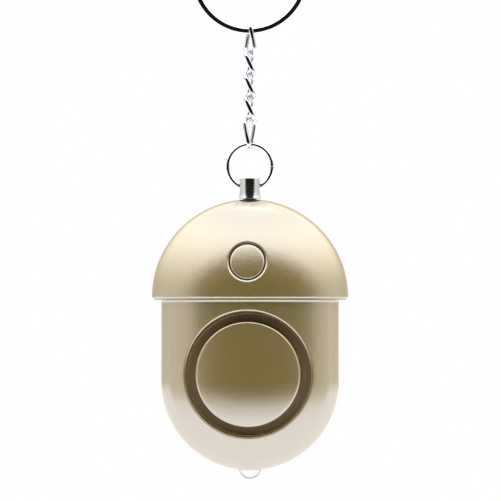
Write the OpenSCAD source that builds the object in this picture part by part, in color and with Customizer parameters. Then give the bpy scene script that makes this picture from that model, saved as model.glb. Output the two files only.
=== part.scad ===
/* [Key ring] */
// Outside diameter of the split key ring
key_ring_od = 25.6; // [20:0.2:32]
// Radial width of the key ring's flat wire
key_wire_w = 1.4; // [1:0.1:2]
// Thickness of one turn of the flat wire
key_wire_t = 0.9; // [0.7:0.05:1.2]
// Gap between the two turns
key_turn_gap = 0.45; // [0.42:0.01:0.6]
// Bevel on the corners of the flat wire
key_wire_bevel = 0.3; // [0.1:0.05:0.35]

/* [Chain] */
// Wire diameter of the chain links
link_wire = 1; // [0.8:0.05:1.2]
// Play on each side of the key ring inside a link
link_room = 0.175; // [0.12:0.005:0.4]
// Inside length of a middle link
link_len = 5; // [4.6:0.1:8]
// Inside length of the two end links
end_link_len = 6; // [5.4:0.1:9]
// Slack between two wires that hang in each other
link_slack = 0.1; // [0.05:0.01:0.12]

/* [Pull pin] */
// Inside diameter of the ring through the pin
pin_ring_id = 8.9; // [8:0.1:14]
// Wire diameter of that ring
pin_ring_wire = 0.8; // [0.6:0.05:1]
// Width of the cut where that ring was closed
pin_ring_cut = 0.12; // [0.05:0.01:0.3]
// Diameter of the metal pin head
pin_d = 5; // [4.4:0.1:6]
// Height of the metal pin head
pin_head_h = 4.6; // [4.2:0.1:8]
// Metal left above the cross hole
pin_land = 1; // [0.6:0.1:2]
// Room round the ring in the cross hole
pin_hole_room = 0.12; // [0.08:0.01:0.3]
// Depth that the head sinks into the cap
pin_sink = 0.2; // [0:0.05:0.5]
// Diameter of the plastic shank
shank_d = 3; // [2.4:0.1:3.4]
// Diameter of the shank's tip
shank_tip_d = 2.1; // [1.6:0.1:2.3]
// Length of the shank below the head
shank_len = 10.1; // [9.7:0.1:10.3]
// Length of the tapered tip
shank_taper = 2.4; // [1.5:0.1:2.6]
// Diameter of the stud that holds the head on the shank
stud_d = 2; // [1.4:0.1:2.2]
// Metal left between the stud and the cross hole
stud_land = 0.3; // [0.2:0.05:0.6]

/* [Housing] */
// Width of the cap
cap_w = 43; // [42:0.5:50]
// Depth of the cap, front to back
cap_d = 22; // [21.6:0.1:26]
// Edge radius of the cap's section
cap_edge_r = 6; // [5:0.1:7]
// Width of the lower body
body_w = 38.8; // [38:0.2:40]
// Depth of the lower body
body_d = 19.2; // [19:0.1:20.6]
// Edge radius of the body's section
body_edge_r = 5.5; // [4.8:0.1:6.5]
// Length of the body's straight sides
body_straight = 18.3; // [17.5:0.1:26]
// Wall thickness of both shells
wall = 1.5; // [1.2:0.05:1.6]
// Height of the lip where the shells meet
lip_h = 1; // [0.6:0.1:1.6]
// Clearance round the lip
lip_fit = 0.1; // [0.05:0.01:0.2]
// Clearance of fixed pieces in their seats
seat_fit = 0.1; // [0.05:0.01:0.15]

/* [Siren] */
// Distance from the well in the front to the sides of the body
siren_margin = 5.5; // [5:0.1:7]
// Width of the open groove round the cover
groove_w = 2.6; // [1.8:0.1:4]
// Distance of the siren's centre below the cap
siren_drop = 16.7; // [16:0.1:18]
// Wall round the well
well_wall = 1.2; // [0.8:0.1:1.6]
// Thickness of the well's floor
well_floor = 1; // [0.8:0.1:1.4]
// Gap under the cover that lets the sound out
sound_gap = 1.6; // [0.8:0.1:1.8]
// Diameter of the sound hole in the floor
sound_hole_d = 6; // [3:0.5:8]
// Diameter of the cover's four legs
leg_d = 2.4; // [2:0.1:3]
// Diameter of the pins on those legs
leg_pin_d = 1.5; // [1:0.1:1.7]
// Distance of the legs from the cover's edge
leg_margin = 3.7; // [2.5:0.1:5]
// Step from the well in to the sounder's brass disc
piezo_margin = 1.4; // [1.2:0.1:3]
// Thickness of the brass disc
piezo_t = 0.3; // [0.2:0.05:0.4]
// Width of brass left round the ceramic disc
ceramic_margin = 3.5; // [3:0.1:5]
// Thickness of the ceramic disc
ceramic_t = 0.3; // [0.2:0.05:0.4]
// Width of the foam ring that seats the brass disc
foam_w = 1.6; // [1:0.1:2.5]
// Thickness of the foam ring
foam_t = 0.5; // [0.3:0.1:0.8]
// Wall that centres the brass disc
piezo_rim = 1; // [0.8:0.1:1.2]
// Diameter of the sounder's two wires
piezo_wire_d = 0.5; // [0.3:0.05:0.6]

/* [Light] */
// Diameter of the light's lens
led_d = 5; // [3:0.5:5]
// Length that the lens stands out of the body
led_proud = 1.9; // [1:0.1:2.4]
// Length of the lens from its collar to its tip
led_len = 7.6; // [7:0.1:8]
// Width of the collar round the lens
led_collar_w = 0.4; // [0.3:0.05:0.5]
// Height of that collar
led_collar_h = 1; // [0.6:0.1:1.2]
// Thickness of the square leads
led_lead = 0.5; // [0.4:0.05:0.6]
// Distance between the two leads
led_pitch = 2.54; // [2:0.02:3]
// Length of the leads
led_lead_len = 5.5; // [4.5:0.1:7]
// Length of the leads below the board
led_lead_free = 2.4; // [1.5:0.1:3]
// Wall of the sleeves that hold the light and the pin socket
sleeve_wall = 1.2; // [0.8:0.1:1.4]

/* [Button] */
// Diameter of the light button
button_d = 7.5; // [6:0.1:9]
// Gap round the button
button_gap = 0.3; // [0.2:0.05:0.4]
// Height of the button's centre above the cap's lower edge
button_rise = 7.7; // [7.4:0.1:8.2]
// Height that the button stands proud
button_proud = 0.15; // [0:0.05:0.4]
// Wall of the guide round the button
guide_wall = 1.1; // [0.8:0.1:1.4]
// Length of that guide below the inside of the wall
guide_len = 2.9; // [2.6:0.1:3.1]
// Width of the flange that keeps the button in
flange_w = 0.9; // [0.6:0.1:1.1]
// Thickness of that flange
flange_t = 0.8; // [0.6:0.1:1]
// Slack between the flange and the guide
flange_slack = 0.2; // [0.1:0.05:0.3]
// Diameter of the button's stem
stem_d = 3; // [2:0.1:3.4]
// Side of the square switch body
switch_w = 6; // [5:0.1:6.4]
// Height of the switch body
switch_h = 2.5; // [2:0.1:2.8]
// Diameter of the switch plunger
plunger_d = 3.4; // [2.6:0.1:4]
// Height of the plunger above its switch
plunger_proud = 0.7; // [0.6:0.05:0.9]
// Length of the plunger inside its switch
plunger_in = 0.75; // [0.5:0.05:1]
// Room below the plunger for its stroke
plunger_room = 0.7; // [0.6:0.05:0.8]

/* [Circuit board] */
// Thickness of the board
board_t = 1; // [0.8:0.1:1.2]
// Step from the well in to the side of the board's main part
board_margin = 1.4; // [1.2:0.1:3]
// Width of the board's upper part
board_top_w = 19; // [15:0.5:20]
// Width of the tongue that takes the light's leads
board_tongue_w = 9; // [6:0.5:12]
// Height of the step to the upper part
board_step = -1; // [-3:0.1:0]
// Clearance of the board's ends from the pin and the screw bosses
board_clear = 0.2; // [0.15:0.05:0.3]
// Room for wires between the board and the sounder
board_room = 0.85; // [0.7:0.05:1.1]
// Diameter of the posts under the board
board_post_d = 2; // [1.6:0.1:2.4]

/* [Battery] */
// Diameter of a button cell
cell_d = 11.6; // [9.5:0.1:11.7]
// Thickness of a button cell
cell_t = 5.4; // [4:0.1:5.5]
// Diameter of the cell's negative cap
cell_cap_d = 9.4; // [7:0.1:9.8]
// Height of that cap
cell_cap_h = 0.7; // [0.4:0.1:1]
// Clearance round a cell
cell_fit = 0.15; // [0.1:0.01:0.2]
// Wall between two cells
cell_web = 0.4; // [0.3:0.05:0.5]
// Outer wall of the cell holder
holder_wall = 0.8; // [0.6:0.1:1]
// Height of the cell holder
holder_h = 4.4; // [3:0.1:4.6]
// Diameter of the post behind the holder
holder_post_d = 1.6; // [1.2:0.1:1.8]
// Thickness of the contact plates
contact_t = 0.25; // [0.15:0.05:0.3]
// Diameter of a contact pad
contact_pad_d = 8; // [5:0.1:9]
// Width of the straps between pads
contact_strap_w = 3; // [2:0.1:4]
// Gap between a cell and its contact
contact_gap = 0.05; // [0.02:0.01:0.1]

/* [Pin switch] */
// Step from the pin head out to the socket that guides the pin
socket_step = 0.1; // [0.05:0.05:0.4]
// Depth of the socket's top below the cap's crest
socket_depth = 1.1; // [0.8:0.1:1.4]
// Length of the socket
socket_len = 6.9; // [6.6:0.1:7]
// Width of the socket's flange
socket_flange_w = 0.9; // [0.6:0.1:1.1]
// Thickness of that flange
socket_flange_t = 1; // [0.8:0.1:1.2]
// Running clearance of the shank
shank_fit = 0.08; // [0.05:0.01:0.12]
// Thickness of the contact blades
blade_t = 0.25; // [0.2:0.01:0.35]
// Width of the moving blade
leaf_w = 3; // [2.6:0.1:3.2]
// Width of the fixed blade
fixed_w = 1.1; // [0.8:0.1:1.2]
// Length of both blades
blade_len = 4.1; // [3.8:0.1:4.2]
// Clearance of the blades in the switch
blade_fit = 0.1; // [0.05:0.01:0.12]
// Gap between the blades and the socket above them
blade_head_gap = 0.5; // [0.3:0.05:0.8]
// Gap that the switch closes when the pin is out
switch_gap = 1.05; // [0.98:0.01:1.2]
// Diameter of the bump that rides on the shank
bump_d = 1.2; // [0.8:0.1:1.4]
// Width of the block beside each blade
block_side = 1.3; // [0.8:0.1:1.5]
// Depth of the block behind the blades
block_back = 0.3; // [0.2:0.05:0.6]
// Height of that block
block_h = 1.8; // [1.2:0.1:2]

/* [Board parts] */
// Diameter of the step-up coil
coil_d = 7.6; // [6:0.1:8]
// Height of the coil
coil_h = 5; // [4:0.1:5.4]
// Sideways place of the coil, to the left
coil_side = 7.4; // [7.2:0.1:7.6]
// Height of the coil above the board's lower edge
coil_rise = 5.7; // [5:0.1:5.8]
// Depth of the winding space between the coil's ends
coil_waist = 0.6; // [0.3:0.1:1]
// Thickness of the coil's ends
coil_end_t = 0.8; // [0.5:0.1:1]
// Length of the driver chip
chip_l = 5; // [4:0.1:6]
// Width of the driver chip
chip_w = 4; // [3:0.1:4.4]
// Height of the driver chip
chip_h = 1.6; // [1.2:0.1:2]
// Width of a chip leg
chip_leg = 0.4; // [0.3:0.05:0.5]
// Distance between chip legs
chip_pitch = 1.27; // [1:0.01:1.4]
// Sideways place of the chip, to the right
chip_side = 5.6; // [5.4:0.1:6.4]
// Height of the chip above the board's lower edge
chip_rise = 3.1; // [2.9:0.1:4]
// Diameter of the transistor
transistor_d = 4.4; // [3.6:0.1:4.6]
// Height of the transistor
transistor_h = 4.2; // [3:0.1:4.4]
// Gap between the transistor and the light's leads
transistor_gap = 1; // [0.5:0.1:1.2]

/* [Screws] */
// Diameter of the case screws
screw_d = 1.7; // [1.4:0.1:2]
// Length of a screw below its head
screw_len = 6; // [5:0.1:6.4]
// Diameter of a screw head
screw_head_d = 3.2; // [2.6:0.1:3.4]
// Height of a screw head
screw_head_h = 1.2; // [0.8:0.1:1.6]
// Width of the cross in a screw head
screw_slot_w = 0.5; // [0.3:0.1:0.7]
// Height of the screw seats above the parting plane
screw_seat = 3.2; // [3:0.1:3.6]
// Clearance round a screw
screw_fit = 0.1; // [0.05:0.01:0.2]
// Wall round a screw head
boss_wall = 0.8; // [0.6:0.1:1]
// Clearance between a boss and the wall
boss_gap = 0.3; // [0.2:0.05:0.6]
// Height of the upper screws above the row of two cells
boss_rise = 6.5; // [6.3:0.1:8]
// Sideways place of the upper screws
boss_side = 13.3; // [13.2:0.1:14]

/* [Hidden] */
$fn = 64;
gold = [0.66, 0.6, 0.42];
steel = [0.76, 0.77, 0.79];
black = [0.09, 0.09, 0.1];
brass = [0.78, 0.64, 0.3];
beyond = 100;

// Key ring
key_turn_step = key_wire_t + key_turn_gap;
key_total_t = 2 * key_wire_t + key_turn_gap;
key_mean_r = (key_ring_od - key_wire_w) / 2;
key_z = key_wire_w - key_ring_od / 2;
key_low_z = key_z - key_mean_r;
key_loop_rings = 24;
key_ramp_rings = 3;
key_start = 90;

// Chain links, counted down from the key ring
link_inner_w = key_total_t + 2 * link_room;
link_r = (link_inner_w + link_wire) / 2;
key_corner_y = key_total_t / 2 - key_wire_bevel;
key_corner_z = key_wire_w / 2 - key_wire_bevel;
key_corner_room = max(0, link_room - link_slack);
key_drop = key_corner_z - sqrt(pow(key_corner_y + key_corner_room, 2) - pow(key_corner_y, 2));
link_lengths = [end_link_len, link_len, link_len, link_len, end_link_len];
link_angles = [[135, 90], [135, 45], [135, 45], [135, 45], [90, 45]];
link_last = len(link_lengths) - 1;
link_arc_rings = 12;
link_side_rings = 3;
link_sides = 8;
function link_span(i) = link_lengths[i] + link_wire;
function link_top(i) = i == 0 ? key_low_z + key_drop + link_r : link_bottom(i - 1) + link_wire + link_slack;
function link_bottom(i) = link_top(i) - link_span(i);

// Pin ring and pin
pin_ring_r = (pin_ring_id + pin_ring_wire) / 2;
pin_ring_z = link_bottom(link_last) + (link_wire + pin_ring_wire) / 2 + link_slack - pin_ring_r;
ring_chord = sqrt(pow(pin_ring_r, 2) - pow(pin_d / 2, 2));
ring_rise = pin_ring_r - ring_chord;
ring_lift = pin_ring_wire / 2 * pin_ring_r / ring_chord;
pin_hole_r = (ring_rise + ring_lift + pin_ring_wire / 2) / 2 + pin_hole_room;
pin_hole_z = pin_ring_z - pin_ring_r + (ring_rise + ring_lift - pin_ring_wire / 2) / 2;
head_top_z = pin_hole_z + pin_hole_r + pin_land;
head_low_z = head_top_z - pin_head_h;
head_edge = 0.3;
stud_len = pin_hole_z - pin_hole_r - stud_land - seat_fit - head_low_z;

// Housing, with heights counted from the cap's lower edge
cap_r = cap_w / 2;
body_r = body_w / 2;
rim_z = head_low_z + pin_sink - cap_r;
body_overlap = 2 * wall;
arc_lap = 0.02;
body_low = -body_straight - body_r;
lip_relief = 0.1;
lip_root = 0.6;

// Board and sounder, front to back
board_back_y = -led_lead / 2;
board_front_y = board_back_y - board_t;
ceramic_back_y = board_front_y - board_room;
piezo_back_y = ceramic_back_y - ceramic_t;
foam_back_y = piezo_back_y - piezo_t;
floor_back_y = foam_back_y - foam_t;
floor_front_y = floor_back_y - well_floor;
cover_back_y = floor_front_y - sound_gap;
siren_h = -siren_drop;
siren_well_d = body_w - 2 * siren_margin;
siren_cover_d = siren_well_d - 2 * groove_w;
leg_circle_r = siren_cover_d / 2 - leg_margin;
piezo_d = siren_well_d - 2 * piezo_margin;
ceramic_d = piezo_d - 2 * ceramic_margin;
board_w = siren_well_d - 2 * board_margin;
piezo_seat_r = piezo_d / 2 + seat_fit;
post_circle_r = piezo_seat_r + board_post_d / 2;
piezo_wire_y = (ceramic_back_y + board_front_y) / 2;
piezo_wire_rise = piezo_d / 4;
brass_wire_h = siren_h + (ceramic_d + piezo_d) / 4;
piezo_wire_starts = [[ceramic_d / 4, ceramic_back_y, siren_h], [0, piezo_back_y, brass_wire_h]];
post_angles = [36, 144, 216, 324];
leg_angles = [45, 135, 225, 315];

// Light
led_tip_h = body_low - led_proud;
led_collar_low = led_tip_h + led_len;
led_hole_r = led_d / 2 + seat_fit;
led_sleeve_r = led_hole_r + sleeve_wall;
led_collar_d = led_d + 2 * led_collar_w;
led_lead_low = led_collar_low + led_collar_h;
board_tongue_low = led_lead_low + led_lead_free;

// Button and its switch
switch_top_y = board_front_y - switch_h;
plunger_top_y = switch_top_y - plunger_proud;
guide_end_y = -(cap_d / 2 - wall - guide_len);
flange_front_y = guide_end_y + flange_slack;
flange_back_y = flange_front_y + flange_t;
button_hole_d = button_d + 2 * button_gap;
guide_d = button_hole_d + 2 * guide_wall;
flange_d = button_hole_d + 2 * flange_w;

// Pin switch
socket_d = pin_d + 2 * socket_step;
socket_top_h = cap_r - socket_depth;
socket_low_h = socket_top_h - socket_len;
socket_hole_r = socket_d / 2 + seat_fit;
socket_sleeve_r = socket_hole_r + sleeve_wall;
sleeve_low_h = socket_low_h + socket_flange_t + seat_fit / 2;
shank_top_h = cap_r - pin_sink;
shank_tip_h = shank_top_h - shank_len;
board_top = shank_tip_h - board_clear;
blade_low_h = socket_low_h - blade_head_gap - blade_len;
block_top_h = blade_low_h - blade_fit;
block_low_h = block_top_h - block_h;
bump_h = blade_low_h + blade_len - bump_d / 2;
shank_slope = (shank_d - shank_tip_d) / 2 / shank_taper;
bump_shank_r = min(shank_d / 2, shank_tip_d / 2 + (bump_h - shank_tip_h) * shank_slope);
bump_reach = 0.25;
leaf_x = bump_shank_r + blade_fit + bump_reach;
leaf_y = board_back_y + blade_fit;
fixed_x = leaf_x - switch_gap - blade_t;
fixed_y = leaf_y + leaf_w - fixed_w;
block_w = switch_gap + 2 * blade_t + 2 * block_side;
block_d = blade_fit + leaf_w + block_back;

// Cells and contacts
cell_pitch = cell_d + 2 * cell_fit + cell_web;
cell_front_y = board_back_y + contact_t + contact_gap;
cell_back_y = cell_front_y + cell_t;
holder_back_y = cell_front_y + holder_h;
rear_pad_y = cell_back_y + contact_gap;
holder_r = cell_d / 2 + cell_fit + holder_wall;
cell_row_h = block_low_h - holder_r - seat_fit - cell_fit;
cell_drop = cell_pitch * sqrt(3) / 2;
cell_places = [[-cell_pitch / 2, cell_row_h], [cell_pitch / 2, cell_row_h], [0, cell_row_h - cell_drop]];
cell_middle = [0, cell_row_h - cell_drop / 3];
holder_core_d = cell_pitch / 3;
tail_gap = 0.9;
tail_h = cell_places[2][1] - holder_r - tail_gap;

// Board parts
transistor_flat = transistor_d / 6;
transistor_low = led_lead_low + led_lead_len + transistor_gap;
transistor_place = [0, transistor_low + transistor_d / 2 - transistor_flat];
chip_legs = 4;
chip_foot = 0.7;

// Screws
boss_r = screw_head_d / 2 + screw_fit + boss_wall;
low_boss_r = body_r - wall - boss_r - boss_gap;
low_boss_angle = 45;
low_boss_x = low_boss_r * cos(low_boss_angle);
low_boss_h = -body_straight - low_boss_r * sin(low_boss_angle);
upper_boss_h = cell_row_h + boss_rise;
screw_places = [[-boss_side, upper_boss_h], [boss_side, upper_boss_h],
  [-low_boss_x, low_boss_h], [low_boss_x, low_boss_h]];
board_low = low_boss_h + boss_r + board_clear;
coil_place = [-coil_side, board_low + coil_rise];
chip_place = [chip_side, board_low + chip_rise];
pilot_extra = 0.4;
screw_slot_y = screw_seat + screw_head_h / 2;
screw_cross_l = screw_head_d / 2;

// Flattened oval with a crowned front and back, whose arcs cross by a hair so that they join cleanly
function crown_r(half_w, half_d, edge) =
  (pow(half_w - edge, 2) + half_d * half_d - edge * edge) / (2 * (half_d - edge));

module oval(half_w, half_d, edge) {
  rise = half_d + 2 * arc_lap;
  crown = crown_r(half_w, rise, edge);
  reach = (half_w - edge) * crown / (crown - edge);
  intersection() {
    translate([0, rise - crown]) circle(crown - arc_lap);
    translate([0, crown - rise]) circle(crown - arc_lap);
    square([2 * reach, 2 * half_d], center = true);
  }
  for (side = [-1, 1]) translate([side * (half_w - edge), 0]) circle(edge);
}

// Half of a thick round disc with that section, standing on its flat
module half_disc(half_w, half_d, edge) {
  rotate([90, 0, 0]) rotate_extrude(angle = 180) intersection() {
    oval(half_w, half_d, edge);
    translate([0, -half_d]) square([half_w, 2 * half_d]);
  }
}

// Cap of the housing, pulled in by an inset
module cap_form(inset) half_disc(cap_r - inset, cap_d / 2 - inset, cap_edge_r - inset);

// Lower body of the housing, reaching up into the cap
module body_form(inset) {
  translate([0, 0, -body_straight]) {
    linear_extrude(body_straight + body_overlap)
      oval(body_r - inset, body_d / 2 - inset, body_edge_r - inset);
    mirror([0, 0, 1]) half_disc(body_r - inset, body_d / 2 - inset, body_edge_r - inset);
  }
}

module outside() {
  cap_form(0);
  body_form(0);
}

module inside() {
  intersection() {
    cap_form(wall);
    translate([-beyond / 2, -beyond / 2, wall]) cube(beyond);
  }
  body_form(wall);
}

module front_half() translate([-beyond / 2, -beyond, -beyond / 2]) cube(beyond);

module rear_half() translate([-beyond / 2, 0, -beyond / 2]) cube(beyond);

// Face of the housing on the parting plane, pulled in by an inset
module outline(inset) {
  intersection() {
    circle(cap_r - inset);
    translate([-beyond / 2, inset]) square(beyond);
  }
  translate([inset - body_r, -body_straight]) square([2 * (body_r - inset), body_straight + body_overlap]);
  translate([0, -body_straight]) circle(body_r - inset);
}

// Round bar from one depth to another, with its place given across and up
module bar_y(place, from_y, to_y, d) {
  translate([place[0], from_y, place[1]]) rotate([-90, 0, 0]) cylinder(h = to_y - from_y, d = d);
}

// Block from one depth to another, with its place given across and up
module block_y(place, size, from_y, to_y) {
  translate([place[0] - size[0] / 2, from_y, place[1] - size[1] / 2])
    cube([size[0], to_y - from_y, size[1]]);
}

// Upright bar from one height to another on the parting plane
module bar_z(from_h, to_h, d) translate([0, 0, from_h]) cylinder(h = to_h - from_h, d = d);

// Sleeves that hold the light and the pin socket, half in each shell
module sleeves() {
  bar_z(body_low, led_collar_low - seat_fit, 2 * led_sleeve_r);
  bar_z(sleeve_low_h, cap_r, 2 * socket_sleeve_r);
}

module sleeve_bores() {
  bar_z(body_low - wall, led_collar_low + wall, 2 * led_hole_r);
  bar_z(sleeve_low_h - wall, cap_r + wall, 2 * socket_hole_r);
}

// Place on a circle round the siren's centre
function round_siren(r, angle) = r * [cos(angle), sin(angle)] + [0, siren_h];

module housing_frame() translate([0, 0, rim_z]) children();

module front_shell() color(gold) housing_frame() difference() {
  union() {
    difference() {
      intersection() {
        outside();
        front_half();
      }
      inside();
      rotate([90, 0, 0]) linear_extrude(lip_h) outline(wall / 2);
    }
    intersection() {
      outside();
      front_half();
      union() {
        bar_y([0, siren_h], -beyond, floor_back_y, siren_well_d + 2 * well_wall);
        bar_y([0, button_rise], -beyond, guide_end_y, guide_d);
        for (place = screw_places) bar_y(place, -beyond, 0, 2 * boss_r);
        sleeves();
      }
    }
    difference() {
      bar_y([0, siren_h], floor_back_y - well_floor / 2, ceramic_back_y, 2 * (piezo_seat_r + piezo_rim));
      bar_y([0, siren_h], floor_back_y, ceramic_back_y + wall, 2 * piezo_seat_r);
    }
    for (angle = post_angles)
      bar_y(round_siren(post_circle_r, angle), floor_back_y, board_front_y, board_post_d);
  }
  bar_y([0, siren_h], -beyond, floor_front_y, siren_well_d);
  bar_y([0, siren_h], -beyond, floor_back_y + well_floor, sound_hole_d);
  for (angle = leg_angles)
    bar_y(round_siren(leg_circle_r, angle), -beyond, floor_back_y + well_floor, leg_pin_d + seat_fit);
  bar_y([0, button_rise], -beyond, guide_end_y + wall, button_hole_d);
  for (place = screw_places)
    bar_y(place, screw_seat - screw_len - pilot_extra, wall, screw_d + 2 * screw_fit);
  sleeve_bores();
}

module rear_shell() color(gold) housing_frame() difference() {
  union() {
    difference() {
      intersection() {
        outside();
        rear_half();
      }
      inside();
    }
    shell_lip();
    intersection() {
      outside();
      rear_half();
      union() {
        for (place = screw_places) bar_y(place, 0, beyond, 2 * boss_r);
        bar_y(cell_middle, holder_back_y, beyond, holder_post_d);
        sleeves();
      }
    }
  }
  for (place = screw_places) {
    bar_y(place, screw_seat, beyond, screw_head_d + 2 * screw_fit);
    bar_y(place, -wall, beyond, screw_d + 2 * screw_fit);
  }
  sleeve_bores();
}

// Lip of the rear shell, left open where the sleeves pass
module shell_lip() difference() {
  translate([0, lip_root, 0]) rotate([90, 0, 0]) linear_extrude(lip_root + lip_h - lip_fit) difference() {
    outline(wall / 2 + lip_fit);
    outline(wall - lip_relief);
  }
  bar_z(body_low, -body_straight, 2 * (led_sleeve_r + lip_fit));
  bar_z(sleeve_low_h - wall, cap_r, 2 * (socket_sleeve_r + lip_fit));
}

module siren_cover() color(gold) housing_frame() {
  intersection() {
    body_form(0);
    bar_y([0, siren_h], -beyond, cover_back_y, siren_cover_d);
  }
  for (angle = leg_angles) {
    place = round_siren(leg_circle_r, angle);
    bar_y(place, cover_back_y - wall / 2, floor_front_y, leg_d);
    bar_y(place, cover_back_y, floor_back_y, leg_pin_d);
  }
}

module light_button() color(gold) housing_frame() {
  intersection() {
    cap_form(-button_proud);
    bar_y([0, button_rise], -beyond, flange_back_y, button_d);
  }
  bar_y([0, button_rise], flange_front_y, flange_back_y, flange_d);
  bar_y([0, button_rise], flange_front_y, plunger_top_y, stem_d);
}

module switch_plunger() color(black) housing_frame()
  bar_y([0, button_rise], plunger_top_y, switch_top_y + plunger_in, plunger_d);

module switch_body() color(steel) housing_frame() difference() {
  block_y([0, button_rise], [switch_w, switch_w], switch_top_y, board_front_y);
  bar_y([0, button_rise], switch_top_y - wall, switch_top_y + plunger_in + plunger_room,
    plunger_d + 2 * seat_fit);
}

module circuit_board() color("darkgreen") housing_frame()
  translate([0, board_back_y, 0]) rotate([90, 0, 0]) linear_extrude(board_t) {
    translate([-board_w / 2, board_low]) square([board_w, board_step - board_low]);
    translate([-board_top_w / 2, board_low]) square([board_top_w, board_top - board_low]);
    translate([-board_tongue_w / 2, board_tongue_low])
      square([board_tongue_w, board_step - board_tongue_low]);
  }

module piezo_plate() color(brass) housing_frame() bar_y([0, siren_h], foam_back_y, piezo_back_y, piezo_d);

module piezo_ceramic() color("ivory") housing_frame()
  bar_y([0, siren_h], piezo_back_y, ceramic_back_y, ceramic_d);

module piezo_seal() color(black) housing_frame() difference() {
  bar_y([0, siren_h], floor_back_y, foam_back_y, piezo_d);
  bar_y([0, siren_h], floor_back_y - wall, foam_back_y + wall, piezo_d - 2 * foam_w);
}

// One wire from the ceramic and one from the brass, each up to the board
module piezo_wires() color("firebrick") housing_frame() for (wire = piezo_wire_starts) {
  start = [wire[0], wire[2]];
  end = start + [0, piezo_wire_rise];
  bar_y(start, wire[1], piezo_wire_y, piezo_wire_d);
  bar_y(end, piezo_wire_y, board_front_y, piezo_wire_d);
  translate([start[0], piezo_wire_y, start[1]]) cylinder(h = piezo_wire_rise, d = piezo_wire_d);
  for (place = [start, end]) translate([place[0], piezo_wire_y, place[1]]) sphere(d = piezo_wire_d);
}

module led_lens() color([0.9, 0.95, 1, 0.6]) housing_frame() {
  translate([0, 0, led_tip_h + led_d / 2]) sphere(d = led_d);
  bar_z(led_tip_h + led_d / 2, led_collar_low, led_d);
  bar_z(led_collar_low, led_lead_low, led_collar_d);
}

module led_leads() color(steel) housing_frame() for (side = [-1, 1])
  translate([side * led_pitch / 2 - led_lead / 2, -led_lead / 2, led_lead_low])
    cube([led_lead, led_lead, led_lead_len]);

// Button cell with its cap towards the front or the back
module button_cell(place, cap_front) {
  can_from = cap_front ? cell_front_y + cell_cap_h : cell_front_y;
  bar_y(place, can_from, can_from + cell_t - cell_cap_h, cell_d);
  bar_y(place, cell_front_y, cell_back_y, cell_cap_d);
}

module battery_cell_1() color(steel) housing_frame() button_cell(cell_places[0], true);

module battery_cell_2() color(steel) housing_frame() button_cell(cell_places[1], false);

module battery_cell_3() color(steel) housing_frame() button_cell(cell_places[2], true);

module cell_holder() color(black) housing_frame() difference() {
  union() {
    for (place = cell_places) bar_y(place, cell_front_y, holder_back_y, 2 * holder_r);
    bar_y(cell_middle, cell_front_y, holder_back_y, holder_core_d);
  }
  for (place = cell_places) bar_y(place, cell_front_y - wall, cell_back_y + wall, cell_d + 2 * cell_fit);
}

// Round pad and the strap from it to another place
module contact_pad(place, from_y) bar_y(place, from_y, from_y + contact_t, contact_pad_d);

module contact_strap(from_place, to_place, from_y) {
  run = to_place - from_place;
  translate([from_place[0], from_y + contact_t, from_place[1]]) rotate([90, -atan2(run[1], run[0]), 0])
    translate([0, -contact_strap_w / 2, 0]) cube([norm(run), contact_strap_w, contact_t]);
}

module negative_contact() color(steel) housing_frame() contact_pad(cell_places[0], board_back_y);

module front_cell_link() color(steel) housing_frame() {
  contact_pad(cell_places[1], board_back_y);
  contact_pad(cell_places[2], board_back_y);
  contact_strap(cell_places[1], cell_places[2], board_back_y);
}

module rear_cell_link() color(steel) housing_frame() {
  contact_pad(cell_places[0], rear_pad_y);
  contact_pad(cell_places[1], rear_pad_y);
  contact_strap(cell_places[0], cell_places[1], rear_pad_y);
}

// Pad on the last cell with a tail that reaches forward to the board
module positive_contact() color(steel) housing_frame() {
  contact_pad(cell_places[2], rear_pad_y);
  contact_strap(cell_places[2], [0, tail_h], rear_pad_y);
  translate([-contact_strap_w / 2, board_back_y, tail_h])
    cube([contact_strap_w, rear_pad_y + contact_t - board_back_y, contact_t]);
}

module boost_coil() color("dimgray") housing_frame() translate([coil_place[0], board_back_y, coil_place[1]])
  rotate([-90, 0, 0]) rotate_extrude() difference() {
    square([coil_d / 2, coil_h]);
    translate([coil_d / 2 - coil_waist, coil_end_t]) square([coil_d, coil_h - 2 * coil_end_t]);
  }

module driver_chip() color(black) housing_frame() {
  block_y(chip_place, [chip_l, chip_w], board_back_y + chip_leg / 2, board_back_y + chip_h);
  for (i = [0 : chip_legs - 1]) {
    leg_x = chip_place[0] + (i - (chip_legs - 1) / 2) * chip_pitch;
    block_y([leg_x, chip_place[1]], [chip_leg, chip_w + 2 * chip_foot], board_back_y,
      board_back_y + chip_leg);
  }
}

module transistor() color(black) housing_frame() intersection() {
  bar_y(transistor_place, board_back_y, board_back_y + transistor_h, transistor_d);
  block_y(transistor_place + [0, transistor_flat], [transistor_d, transistor_d], -beyond, beyond);
}

module pin_socket() color(black) housing_frame() difference() {
  union() {
    bar_z(socket_low_h, socket_top_h, socket_d);
    bar_z(socket_low_h, socket_low_h + socket_flange_t, socket_d + 2 * socket_flange_w);
  }
  bar_z(socket_low_h - wall, socket_top_h + wall, shank_d + 2 * shank_fit);
}

module contact_block() color(black) housing_frame()
  translate([fixed_x - block_side, board_back_y, block_low_h]) cube([block_w, block_d, block_h]);

module fixed_contact() color(brass) housing_frame()
  translate([fixed_x, fixed_y, block_top_h]) cube([blade_t, fixed_w, blade_len]);

module contact_leaf() color(brass) housing_frame() {
  translate([leaf_x, leaf_y, blade_low_h]) cube([blade_t, leaf_w, blade_len]);
  translate([leaf_x - bump_reach, leaf_y + bump_d / 2, bump_h]) rotate([0, 90, 0])
    cylinder(h = bump_reach + blade_t / 2, d = bump_d);
}

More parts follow.
